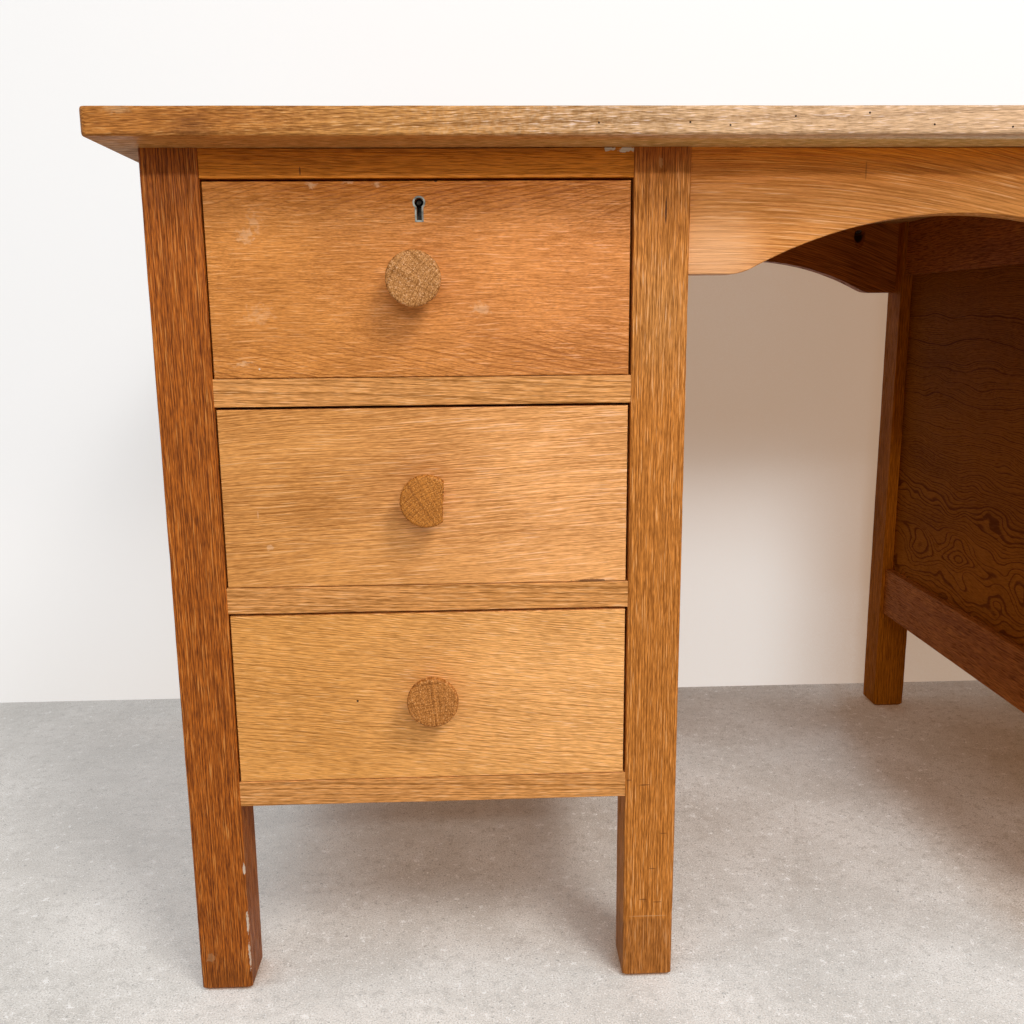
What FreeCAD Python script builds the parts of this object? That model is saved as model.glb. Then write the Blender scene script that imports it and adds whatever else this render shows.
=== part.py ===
import FreeCAD, Part
import math
import os

# A twin pedestal writing desk in oak, framed, panelled and drawered by joinery.
# Seen by someone facing the drawers, +X runs right, +Y from front to back and +Z up.
# The origin is on the floor, under the middle of the top. Sizes are in millimetres.

# Desk top
TOP_THICKNESS = 21.0
TOP_BOARD_COUNT = 5
TOP_CORNER_RADIUS = 6.0
TOP_EDGE_RADIUS = 2.5
FRONT_OVERHANG = 51.0
REAR_OVERHANG = 35.0
SIDE_OVERHANG = 25.0

# Plan of the frame
LEG_WIDTH = 46.0
LEG_ARRIS = 1.5
FOOT_CHAMFER = 3.5
OPENING_WIDTH = 344.0
KNEEHOLE_WIDTH = 450.0
FRAME_DEPTH = 676.0

# Front rails and the drawer openings between them, from the floor up
RAIL_CLEARANCE = 183.0
RAIL_THICKNESS = 23.0
RAIL_SETBACK = 1.0
RAIL_ARRIS = 0.8
BOTTOM_OPENING = 155.0
MIDDLE_OPENING = 154.0
TOP_OPENING = 157.0

# Side and back frames: two rails and a grooved panel each
FRAME_SETBACK = 5.0
FRAME_RAIL_THICKNESS = 27.0
FRAME_RAIL_CLEARANCE = 154.0
LOW_RAIL_HEIGHT = 70.0
HIGH_RAIL_HEIGHT = 75.0
PANEL_THICKNESS = 6.0
PANEL_GROOVE = 8.0

# Arched aprons over the kneehole
APRON_HEIGHT = 99.0
APRON_THICKNESS = 22.0
APRON_SETBACK = 3.0
APRON_ARRIS = 1.0
APRON_FLAT = 34.0
ARCH_RISE = 47.5
LOBE_RADIUS = 40.0

# Tenons
TENON_THICKNESS = 9.0
TENON_WALL = 2.5
RAIL_TENON_SHOULDER = 5.5
RAIL_TENON_MARGIN = 8.0
SIDE_TENON_LENGTH = 18.0
SIDE_TENON_SHOULDER = PANEL_GROOVE + TENON_WALL
APRON_TENON_SHOULDER = 12.0

# What carries the drawers
RUNNER_WIDTH = 28.0
RUNNER_THICKNESS = 20.0
GUIDE_HEIGHT = 18.0
STOP_WIDTH = 30.0
STOP_DEPTH = 20.0
STOP_HEIGHT = 5.0
STOP_SPACING = 200.0
STOP_CLEARANCE = 0.3

# Drawers
DRAWER_OUTER_GAP = 1.3
DRAWER_INNER_GAP = 2.1
DRAWER_TOP_GAP = 2.2
DRAWER_RUNNING_GAP = 0.5
DRAWER_REAR_ROOM = 50.0
DRAWER_FRONT_THICKNESS = 20.0
DRAWER_FRONT_ARRIS = 1.0
DRAWER_SIDE_THICKNESS = 11.0
DRAWER_SIDE_DROP = 4.0
DRAWER_BACK_THICKNESS = 10.0
DRAWER_BACK_DROP = 10.0
DRAWER_FLOOR_THICKNESS = 5.0
DRAWER_FLOOR_LIFT = 10.0
DRAWER_FLOOR_GROOVE = 5.0
DOVETAIL_COUNT = 3
DOVETAIL_LAP = 6.0
DOVETAIL_PIN = 9.0
DOVETAIL_SLOPE = 7.0

# Turned knobs
KNOB_RADIUS = 22.0
KNOB_LENGTH = 25.5
KNOB_RIM = 6.0
KNOB_ROUND = 2.2
KNOB_DOME = 0.6
KNOB_COLLAR_RADIUS = 14.0
KNOB_COLLAR = 2.5
KNOB_NECK_RADIUS = 11.5
KNOB_UNDERCUT = 1.0
KNOB_SPIGOT_RADIUS = 6.0
TOP_KNOB_SHIFT = -5.0
MIDDLE_KNOB_SHIFT = 1.0
BOTTOM_KNOB_SHIFT = 2.0
BOTTOM_KNOB_LIFT = 2.5
SPLIT_KNOB_OFFSET = 14.3
SPLIT_KNOB_LEAN = 3.0

# Drawer lock and its escutcheon
KEY_DROP = 16.5
KEYHOLE_RADIUS = 3.6
KEYHOLE_SLOT = 3.9
KEYHOLE_LENGTH = 13.6
ESCUTCHEON_RIM = 1.5
ESCUTCHEON_DEPTH = 2.5
ESCUTCHEON_PROUD = 0.2
LOCK_PLATE_WIDTH = 60.0
LOCK_PLATE_HEIGHT = 36.0
LOCK_PLATE_THICKNESS = 1.6
LOCK_CAP_THICKNESS = 2.0
LOCK_CASE_WIDTH = 40.0
LOCK_CASE_HEIGHT = 32.0
LOCK_CASE_DEPTH = 8.0
LOCK_CASE_WALL = 1.2
LOCK_PIN_RADIUS = 1.6
LOCK_PIN_INSET = 4.0
LOCK_SWEEP_RADIUS = 9.0
BOLT_WIDTH = 14.0
BOLT_THICKNESS = 5.0
BOLT_PIN_ROOM = 4.5
BOLT_TRAVEL = 8.0
BOLT_CLEARANCE = 0.3
BOLT_MORTISE_ROOM = 1.5

# Screws
SCREW_RADIUS = 2.0
SCREW_HEAD_RADIUS = 4.2
SCREW_HEAD_HEIGHT = 2.4
SCREW_SLOT = 1.0
SCREW_BITE = 12.0
KICKER_SCREW_INSET = 80.0
POCKET_ANGLE = 30.0
POCKET_RADIUS = 8.0
POCKET_SEAT = 9.0
POCKET_INSET = 58.0
LOCK_SCREW_RADIUS = 1.2
LOCK_SCREW_HEAD_RADIUS = 2.4
LOCK_SCREW_HEAD_HEIGHT = 1.2
LOCK_SCREW_LENGTH = 9.0
LOCK_SCREW_INSET = 5.0

# Small room left round a glued or driven piece in its hole
FIT = 0.1
# Tolerance for telling edges apart by where they lie
TOUCH = 0.01

# Sizes that follow from those above
PEDESTAL_WIDTH = OPENING_WIDTH + 2 * LEG_WIDTH
HALF_FRAME = KNEEHOLE_WIDTH / 2 + PEDESTAL_WIDTH
TOP_HALF_LENGTH = HALF_FRAME + SIDE_OVERHANG
TOP_DEPTH = FRONT_OVERHANG + FRAME_DEPTH + REAR_OVERHANG
FRONT = FRONT_OVERHANG - TOP_DEPTH / 2
REAR = FRONT + FRAME_DEPTH
FRAME_MIDDLE = FRAME_SETBACK + FRAME_RAIL_THICKNESS / 2
FRAME_INSIDE = FRAME_SETBACK + FRAME_RAIL_THICKNESS
RAIL_TENON_LENGTH = LEG_WIDTH - FRAME_MIDDLE - TENON_THICKNESS / 2 - TENON_WALL
APRON_TENON_LENGTH = FRAME_MIDDLE - TENON_THICKNESS / 2 - TENON_WALL
DRAWER_FACE = FRONT + RAIL_SETBACK
DRAWER_INSIDE = DRAWER_FACE + DRAWER_FRONT_THICKNESS
DRAWER_END = REAR - LEG_WIDTH - DRAWER_REAR_ROOM
OPENING_MIDDLE = LEG_WIDTH + OPENING_WIDTH / 2

SIDES = {"left": -1, "right": 1}
OPENINGS = {"bottom": BOTTOM_OPENING, "middle": MIDDLE_OPENING, "top": TOP_OPENING}
KNOB_SHIFTS = {"bottom": BOTTOM_KNOB_SHIFT, "middle": MIDDLE_KNOB_SHIFT, "top": TOP_KNOB_SHIFT}
KNOB_LIFTS = {"bottom": BOTTOM_KNOB_LIFT, "middle": 0.0, "top": 0.0}

# Height of the floor of each drawer opening, and of the legs above the last rail
LEVELS = {}
LEG_HEIGHT = RAIL_CLEARANCE + RAIL_THICKNESS
for level_name, opening_height in OPENINGS.items():
    LEVELS[level_name] = LEG_HEIGHT
    LEG_HEIGHT += opening_height + RAIL_THICKNESS
HIGH_RAIL_BOTTOM = LEG_HEIGHT - HIGH_RAIL_HEIGHT
LOW_RAIL_TOP = FRAME_RAIL_CLEARANCE + LOW_RAIL_HEIGHT

Vec = FreeCAD.Vector
NODES = {}
LEG_HOUSINGS = []
TOP_SCREWS = []
TOP_SCREW_HOLES = []


def keep(name, *solids):
    """Stores one named piece, or a group of separate solids under one name."""
    NODES[name] = solids[0] if len(solids) == 1 else Part.makeCompound(list(solids))


def box(x0, x1, y0, y1, z0, z1):
    """A box between two corners, whichever of x0 and x1 is lower."""
    return Part.makeBox(abs(x1 - x0), y1 - y0, z1 - z0, Vec(min(x0, x1), y0, z0))


def across(side, u):
    """X of a place u inwards from the outer leg face of the left (-1) or right (1) pedestal."""
    return side * (HALF_FRAME - u)


def block(side, u0, u1, y0, y1, z0, z1):
    """A box in one pedestal, placed across it by u."""
    return box(across(side, u0), across(side, u1), y0, y1, z0, z1)


def both_sides(u0, u1):
    """A stretch at the outer side of a pedestal and its mirror image at the inner side."""
    return (u0, u1), (PEDESTAL_WIDTH - u1, PEDESTAL_WIDTH - u0)


def rod(x, y0, y1, z, radius):
    """A round bar along Y."""
    return Part.makeCylinder(radius, y1 - y0, Vec(x, y0, z), Vec(0, 1, 0))


def join(first, others):
    """One solid out of several that touch or overlap."""
    return first.fuse(others).removeSplitter()


def housed(piece, housings):
    """The piece with every housing that reaches it cut out."""
    near = [shape for shape in housings if shape.BoundBox.intersect(piece.BoundBox)]
    return piece.cut(near) if near else piece


def screw(base, direction, length, radius, head_radius, head_height, room=0.0):
    """A countersunk wood screw; with room it is the hole for one."""
    head = Part.makeCone(head_radius + room, radius + room, head_height, base, direction)
    return join(head, [Part.makeCylinder(radius + room, length + room, base, direction)])


def slotted(screw_shape, base, direction, across_head, slot):
    """The screw with a driver slot across its head, square to the direction given."""
    slot_box = Part.makeBox(2 * across_head, slot, 2 * slot, Vec(-across_head, -slot / 2, -slot))
    slot_box.Placement = FreeCAD.Placement(base, FreeCAD.Rotation(Vec(0, 0, 1), direction))
    return screw_shape.cut(slot_box)


def drive_top_screw(base, direction, length):
    """Adds a screw that holds the top, and the hole that it needs on its way."""
    sizes = (SCREW_RADIUS, SCREW_HEAD_RADIUS, SCREW_HEAD_HEIGHT)
    plain = screw(base, direction, length, *sizes)
    TOP_SCREWS.append(slotted(plain, base, direction, SCREW_HEAD_RADIUS, SCREW_SLOT))
    TOP_SCREW_HOLES.append(screw(base, direction, length, *sizes, room=FIT))


def front_rail(side, z0):
    """A rail across the front of a pedestal, tenoned into both front legs."""
    y0 = DRAWER_FACE
    y1 = FRONT + LEG_WIDTH
    z1 = z0 + RAIL_THICKNESS
    body = block(side, LEG_WIDTH, LEG_WIDTH + OPENING_WIDTH, y0, y1, z0, z1)
    arrises = [e for e in body.Edges if e.BoundBox.YMax < y0 + TOUCH and e.BoundBox.XLength > TOUCH]
    arrises = [e for e in arrises if e.BoundBox.ZLength < TOUCH]
    body = body.makeFillet(RAIL_ARRIS, arrises)
    tenons = []
    for u0, u1 in both_sides(LEG_WIDTH - RAIL_TENON_LENGTH, LEG_WIDTH):
        tenons.append(block(side, u0, u1, y0 + RAIL_TENON_MARGIN, y1 - RAIL_TENON_MARGIN,
                            z0 + RAIL_TENON_SHOULDER, z1 - RAIL_TENON_SHOULDER))
    LEG_HOUSINGS.extend(tenons)
    return join(body, tenons)


def side_frame(side, u0, u1):
    """Low rail, high rail and panel between a front and a rear leg."""
    y0 = FRONT + LEG_WIDTH
    y1 = REAR - LEG_WIDTH
    middle = (u0 + u1) / 2
    panel = block(side, middle - PANEL_THICKNESS / 2, middle + PANEL_THICKNESS / 2,
                  y0 - PANEL_GROOVE, y1 + PANEL_GROOVE,
                  LOW_RAIL_TOP - PANEL_GROOVE, HIGH_RAIL_BOTTOM + PANEL_GROOVE)
    LEG_HOUSINGS.append(panel)
    rails = []
    for z0, z1 in ((FRAME_RAIL_CLEARANCE, LOW_RAIL_TOP), (HIGH_RAIL_BOTTOM, LEG_HEIGHT)):
        tenons = []
        for start, stop in ((y0 - SIDE_TENON_LENGTH, y0), (y1, y1 + SIDE_TENON_LENGTH)):
            tenons.append(block(side, middle - TENON_THICKNESS / 2, middle + TENON_THICKNESS / 2,
                                start, stop, z0 + SIDE_TENON_SHOULDER, z1 - SIDE_TENON_SHOULDER))
        LEG_HOUSINGS.extend(tenons)
        rails.append(join(block(side, u0, u1, y0, y1, z0, z1), tenons).cut(panel))
    return rails, panel


def back_frame(side):
    """Low rail, high rail and panel between the two rear legs of a pedestal."""
    u0 = LEG_WIDTH
    u1 = LEG_WIDTH + OPENING_WIDTH
    y0 = REAR - FRAME_INSIDE
    y1 = REAR - FRAME_SETBACK
    middle = REAR - FRAME_MIDDLE
    panel = block(side, u0 - PANEL_GROOVE, u1 + PANEL_GROOVE,
                  middle - PANEL_THICKNESS / 2, middle + PANEL_THICKNESS / 2,
                  LOW_RAIL_TOP - PANEL_GROOVE, HIGH_RAIL_BOTTOM + PANEL_GROOVE)
    LEG_HOUSINGS.append(panel)
    rails = []
    for z0, z1 in ((FRAME_RAIL_CLEARANCE, LOW_RAIL_TOP), (HIGH_RAIL_BOTTOM, LEG_HEIGHT)):
        tenons = []
        for start, stop in both_sides(u0 - RAIL_TENON_LENGTH, u0):
            tenons.append(block(side, start, stop,
                                middle - TENON_THICKNESS / 2, middle + TENON_THICKNESS / 2,
                                z0 + SIDE_TENON_SHOULDER, z1 - SIDE_TENON_SHOULDER))
        LEG_HOUSINGS.extend(tenons)
        rails.append(join(block(side, u0, u1, y0, y1, z0, z1), tenons).cut(panel))
    return rails, panel


def apron_face(y):
    """Outline of an apron: flat feet by the legs, a small lobe, then one wide arch."""
    half = KNEEHOLE_WIDTH / 2
    foot = LEG_HEIGHT - APRON_HEIGHT
    lobe_x = half - APRON_FLAT
    arch_radius = (lobe_x ** 2 + ARCH_RISE ** 2) / (2 * ARCH_RISE) - LOBE_RADIUS
    arch_z = foot + ARCH_RISE - arch_radius
    lobe_z = foot + LOBE_RADIUS
    turn = math.atan2(lobe_x, lobe_z - arch_z)
    meet_x = arch_radius * math.sin(turn)
    meet_z = arch_z + arch_radius * math.cos(turn)
    mid_x = lobe_x - LOBE_RADIUS * math.sin(turn / 2)
    mid_z = lobe_z - LOBE_RADIUS * math.cos(turn / 2)

    def at(x, z):
        return Vec(x, y, z)

    edges = [
        Part.LineSegment(at(-half, LEG_HEIGHT), at(-half, foot)),
        Part.LineSegment(at(-half, foot), at(-lobe_x, foot)),
        Part.Arc(at(-lobe_x, foot), at(-mid_x, mid_z), at(-meet_x, meet_z)),
        Part.Arc(at(-meet_x, meet_z), at(0, foot + ARCH_RISE), at(meet_x, meet_z)),
        Part.Arc(at(meet_x, meet_z), at(mid_x, mid_z), at(lobe_x, foot)),
        Part.LineSegment(at(lobe_x, foot), at(half, foot)),
        Part.LineSegment(at(half, foot), at(half, LEG_HEIGHT)),
        Part.LineSegment(at(half, LEG_HEIGHT), at(-half, LEG_HEIGHT)),
    ]
    return Part.Face(Part.Wire([edge.toShape() for edge in edges]))


def apron(y0, outer_y, inner_y):
    """An apron across the kneehole, with screw pockets in its inner face."""
    body = apron_face(y0).extrude(Vec(0, APRON_THICKNESS, 0))
    lower = [e for e in body.Edges if e.BoundBox.ZMax < LEG_HEIGHT - TOUCH]
    lower = [e for e in lower if abs(e.BoundBox.Center.y - outer_y) < TOUCH]
    body = body.makeFillet(APRON_ARRIS, lower)
    half = KNEEHOLE_WIDTH / 2
    middle = y0 + APRON_THICKNESS / 2
    tenons = []
    for side in SIDES.values():
        tenons.append(box(side * half, side * (half + APRON_TENON_LENGTH),
                          middle - TENON_THICKNESS / 2, middle + TENON_THICKNESS / 2,
                          LEG_HEIGHT - APRON_HEIGHT + APRON_TENON_SHOULDER,
                          LEG_HEIGHT - APRON_TENON_SHOULDER))
    LEG_HOUSINGS.extend(tenons)
    body = join(body, tenons)
    into = 1 if outer_y > inner_y else -1
    lean = math.radians(POCKET_ANGLE)
    drop = APRON_THICKNESS / 2 / math.tan(lean)
    axis = Vec(0, into * math.sin(lean), math.cos(lean))
    for side in SIDES.values():
        mouth = Vec(side * (half - POCKET_INSET), inner_y, LEG_HEIGHT - drop)
        seat = mouth + axis * POCKET_SEAT
        reach = drop / math.cos(lean) + POCKET_SEAT
        body = body.cut(Part.makeCylinder(POCKET_RADIUS, reach, seat - axis * reach, axis))
        drive_top_screw(seat, axis, drop / math.cos(lean) - POCKET_SEAT + SCREW_BITE)
    return body


def leg(side, u0, y0):
    """A square leg with eased arrises and a chamfered foot, cut for its joints."""
    shaft = block(side, u0, u0 + LEG_WIDTH, y0, y0 + LEG_WIDTH, 0, LEG_HEIGHT)
    foot_edges = [e for e in shaft.Edges if e.BoundBox.ZMax < TOUCH]
    upright_edges = [e for e in shaft.Edges if e.BoundBox.ZLength > LEG_HEIGHT - TOUCH]
    eased = shaft.makeFillet(LEG_ARRIS, upright_edges)
    return housed(eased.common(shaft.makeChamfer(FOOT_CHAMFER, foot_edges)), LEG_HOUSINGS)


def desk_top():
    """Boards glued edge to edge into one top with rounded corners and edges."""
    z0 = LEG_HEIGHT
    z1 = LEG_HEIGHT + TOP_THICKNESS
    y0 = -TOP_DEPTH / 2
    slab = box(-TOP_HALF_LENGTH, TOP_HALF_LENGTH, y0, -y0, z0, z1)
    slab = slab.makeFillet(TOP_CORNER_RADIUS, [e for e in slab.Edges if e.BoundBox.ZLength > TOUCH])
    slab = slab.makeFillet(TOP_EDGE_RADIUS, [e for e in slab.Edges if e.BoundBox.ZLength < TOUCH])
    width = TOP_DEPTH / TOP_BOARD_COUNT
    boards = []
    for i in range(TOP_BOARD_COUNT):
        strip = box(-TOP_HALF_LENGTH, TOP_HALF_LENGTH, y0 + i * width, y0 + (i + 1) * width, z0, z1)
        boards.append(housed(slab.common(strip), TOP_SCREW_HOLES))
    return boards


def carriers(side):
    """Runners, then the guides, kickers and stops, of one pedestal."""
    y0 = FRONT + LEG_WIDTH
    y1 = REAR - LEG_WIDTH
    runners = []
    guides = []
    for u0, u1 in both_sides(FRAME_INSIDE, FRAME_INSIDE + RUNNER_WIDTH):
        for z in LEVELS.values():
            runners.append(block(side, u0, u1, y0, y1, z - RUNNER_THICKNESS, z))
        for y in (y0 + KICKER_SCREW_INSET, y1 - KICKER_SCREW_INSET):
            base = Vec(across(side, (u0 + u1) / 2), y, LEG_HEIGHT - RAIL_THICKNESS)
            drive_top_screw(base, Vec(0, 0, 1), RAIL_THICKNESS + SCREW_BITE)
        kicker = block(side, u0, u1, y0, y1, LEG_HEIGHT - RAIL_THICKNESS, LEG_HEIGHT)
        guides.append(housed(kicker, TOP_SCREW_HOLES))
    for u0, u1 in both_sides(FRAME_INSIDE, LEG_WIDTH):
        for z in LEVELS.values():
            guides.append(block(side, u0, u1, y0, y1, z, z + GUIDE_HEIGHT))
    stop_front = DRAWER_INSIDE + STOP_CLEARANCE
    for offset in (-STOP_SPACING / 2, STOP_SPACING / 2):
        u0 = OPENING_MIDDLE + offset - STOP_WIDTH / 2
        for z in LEVELS.values():
            guides.append(block(side, u0, u0 + STOP_WIDTH, stop_front, stop_front + STOP_DEPTH,
                                z, z + STOP_HEIGHT))
    return runners, guides


def dovetails(side, u0, u1, root, tip, z0, z1):
    """Prisms that widen from root to tip along Y, evenly spread from z0 to z1."""
    pitch = (z1 - z0) / DOVETAIL_COUNT
    flare = abs(tip - root) / DOVETAIL_SLOPE
    wide = (pitch - DOVETAIL_PIN) / 2
    narrow = wide - flare
    x0 = across(side, u0)
    tails = []
    for i in range(DOVETAIL_COUNT):
        z = z0 + (i + 0.5) * pitch
        corners = [Vec(x0, root, z - narrow), Vec(x0, tip, z - wide), Vec(x0, tip, z + wide),
                   Vec(x0, root, z + narrow)]
        face = Part.Face(Part.makePolygon(corners + corners[:1]))
        tails.append(face.extrude(Vec(across(side, u1) - x0, 0, 0)))
    return tails


def knob(x, z):
    """A knob turned in one piece with the spigot that is glued through the drawer front."""
    rim_back = KNOB_LENGTH - KNOB_RIM
    rim_front = KNOB_LENGTH - KNOB_DOME

    def at(radius, out):
        return Vec(x + radius, DRAWER_FACE - out, z)

    round_mid = KNOB_ROUND * (1 - math.sqrt(0.5))
    edges = [
        Part.LineSegment(at(0, -DRAWER_FRONT_THICKNESS), at(KNOB_SPIGOT_RADIUS, -DRAWER_FRONT_THICKNESS)),
        Part.LineSegment(at(KNOB_SPIGOT_RADIUS, -DRAWER_FRONT_THICKNESS), at(KNOB_SPIGOT_RADIUS, 0)),
        Part.LineSegment(at(KNOB_SPIGOT_RADIUS, 0), at(KNOB_COLLAR_RADIUS, 0)),
        Part.LineSegment(at(KNOB_COLLAR_RADIUS, 0), at(KNOB_COLLAR_RADIUS, KNOB_COLLAR)),
        Part.Arc(at(KNOB_COLLAR_RADIUS, KNOB_COLLAR), at(KNOB_NECK_RADIUS, (KNOB_COLLAR + rim_back) / 2),
                 at(KNOB_RADIUS - KNOB_UNDERCUT, rim_back - KNOB_UNDERCUT)),
        Part.LineSegment(at(KNOB_RADIUS - KNOB_UNDERCUT, rim_back - KNOB_UNDERCUT),
                         at(KNOB_RADIUS, rim_back)),
        Part.LineSegment(at(KNOB_RADIUS, rim_back), at(KNOB_RADIUS, rim_front - KNOB_ROUND)),
        Part.Arc(at(KNOB_RADIUS, rim_front - KNOB_ROUND), at(KNOB_RADIUS - round_mid, rim_front - round_mid),
                 at(KNOB_RADIUS - KNOB_ROUND, rim_front)),
        Part.LineSegment(at(KNOB_RADIUS - KNOB_ROUND, rim_front), at(0, KNOB_LENGTH)),
        Part.LineSegment(at(0, KNOB_LENGTH), at(0, -DRAWER_FRONT_THICKNESS)),
    ]
    profile = Part.Face(Part.Wire([edge.toShape() for edge in edges]))
    return profile.revolve(Vec(x, 0, z), Vec(0, 1, 0), 360)


def split_off(x, z):
    """The sliver that has split away along the grain from the right of a knob's head."""
    reach = 2 * KNOB_RADIUS
    sliver = Part.makeBox(reach, reach, 2 * reach, Vec(SPLIT_KNOB_OFFSET, -reach, -reach))
    lean = FreeCAD.Rotation(Vec(0, 1, 0), SPLIT_KNOB_LEAN)
    sliver.Placement = FreeCAD.Placement(Vec(x, DRAWER_FACE, z), lean)
    return sliver


def keyhole(x, z, y0, y1, radius, slot, length):
    """A keyhole through a thickness: a round hole over a slot with a square end."""
    half = slot / 2
    return join(rod(x, y0, y1, z, radius), [box(x - half, x + half, y0, y1, z - length, z)])


def lock(x, top):
    """Case, bolt, escutcheon and screws of a lock let into a drawer front, and what they cut away."""
    key_z = top - KEY_DROP
    back = DRAWER_INSIDE
    plate_y = back - LOCK_PLATE_THICKNESS
    case_y = plate_y - LOCK_CASE_DEPTH
    half_plate = LOCK_PLATE_WIDTH / 2
    half_case = LOCK_CASE_WIDTH / 2
    plate = box(x - half_plate, x + half_plate, plate_y, back, top - LOCK_PLATE_HEIGHT, top)
    cap = box(x - half_plate, x + half_plate, case_y, back, top - LOCK_CAP_THICKNESS, top)
    body = box(x - half_case, x + half_case, case_y, plate_y, top - LOCK_CASE_HEIGHT, top)
    outside = join(plate, [cap, body])

    bolt_middle = case_y + LOCK_CASE_DEPTH / 2
    bolt_y0 = bolt_middle - BOLT_THICKNESS / 2
    bolt_y1 = bolt_middle + BOLT_THICKNESS / 2
    bolt_z = key_z + BOLT_PIN_ROOM
    half_bolt = BOLT_WIDTH / 2
    bolt = box(x - half_bolt, x + half_bolt, bolt_y0, bolt_y1, bolt_z, top - BOLT_CLEARANCE)
    channel = box(x - half_bolt - BOLT_CLEARANCE, x + half_bolt + BOLT_CLEARANCE,
                  bolt_y0 - BOLT_CLEARANCE, bolt_y1 + BOLT_CLEARANCE, bolt_z - BOLT_CLEARANCE, top)
    sweep = rod(x, case_y + LOCK_CASE_WALL, plate_y - LOCK_CASE_WALL, key_z, LOCK_SWEEP_RADIUS)
    keyway = (x, key_z, case_y, case_y + LOCK_CASE_WALL, KEYHOLE_RADIUS, KEYHOLE_SLOT, KEYHOLE_LENGTH)
    case = outside.cut([channel, sweep, keyhole(*keyway)])
    case = join(case, [rod(x, DRAWER_FACE + LOCK_PIN_INSET, plate_y, key_z, LOCK_PIN_RADIUS)])

    rim = ESCUTCHEON_RIM
    seat_y = DRAWER_FACE + ESCUTCHEON_DEPTH
    outer = (KEYHOLE_RADIUS + rim, KEYHOLE_SLOT + 2 * rim, KEYHOLE_LENGTH + rim)
    inner = (KEYHOLE_RADIUS, KEYHOLE_SLOT, KEYHOLE_LENGTH)
    proud_y = DRAWER_FACE - ESCUTCHEON_PROUD
    ring = keyhole(x, key_z, proud_y, seat_y, *outer).cut(keyhole(x, key_z, proud_y, seat_y, *inner))

    screws = []
    holes = []
    sizes = (LOCK_SCREW_RADIUS, LOCK_SCREW_HEAD_RADIUS, LOCK_SCREW_HEAD_HEIGHT)
    inwards = Vec(0, -1, 0)
    for sign in (-1, 1):
        for z in (top - LOCK_CAP_THICKNESS - LOCK_SCREW_INSET, top - LOCK_PLATE_HEIGHT + LOCK_SCREW_INSET):
            base = Vec(x + sign * (half_plate - LOCK_SCREW_INSET), back, z)
            plain = screw(base, inwards, LOCK_SCREW_LENGTH, *sizes)
            screws.append(slotted(plain, base, inwards, LOCK_SCREW_HEAD_RADIUS, SCREW_SLOT / 2))
            holes.append(screw(base, inwards, LOCK_SCREW_LENGTH, *sizes, room=FIT))
    case = case.cut(holes)
    through = keyhole(x, key_z, DRAWER_FACE, case_y, *inner)
    seat = keyhole(x, key_z, DRAWER_FACE, seat_y, *outer)
    return case, bolt, ring, screws, [outside, through, seat] + holes


def bolt_mortise(side):
    """The slot in the top rail that a lock's bolt rises into."""
    x = across(side, OPENING_MIDDLE)
    under = LEG_HEIGHT - RAIL_THICKNESS
    middle = DRAWER_INSIDE - LOCK_PLATE_THICKNESS - LOCK_CASE_DEPTH / 2
    half_x = BOLT_WIDTH / 2 + BOLT_CLEARANCE
    half_y = BOLT_THICKNESS / 2 + BOLT_CLEARANCE
    depth = BOLT_TRAVEL - BOLT_CLEARANCE - DRAWER_TOP_GAP + BOLT_MORTISE_ROOM
    return box(x - half_x, x + half_x, middle - half_y, middle + half_y, under, under + depth)


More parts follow.
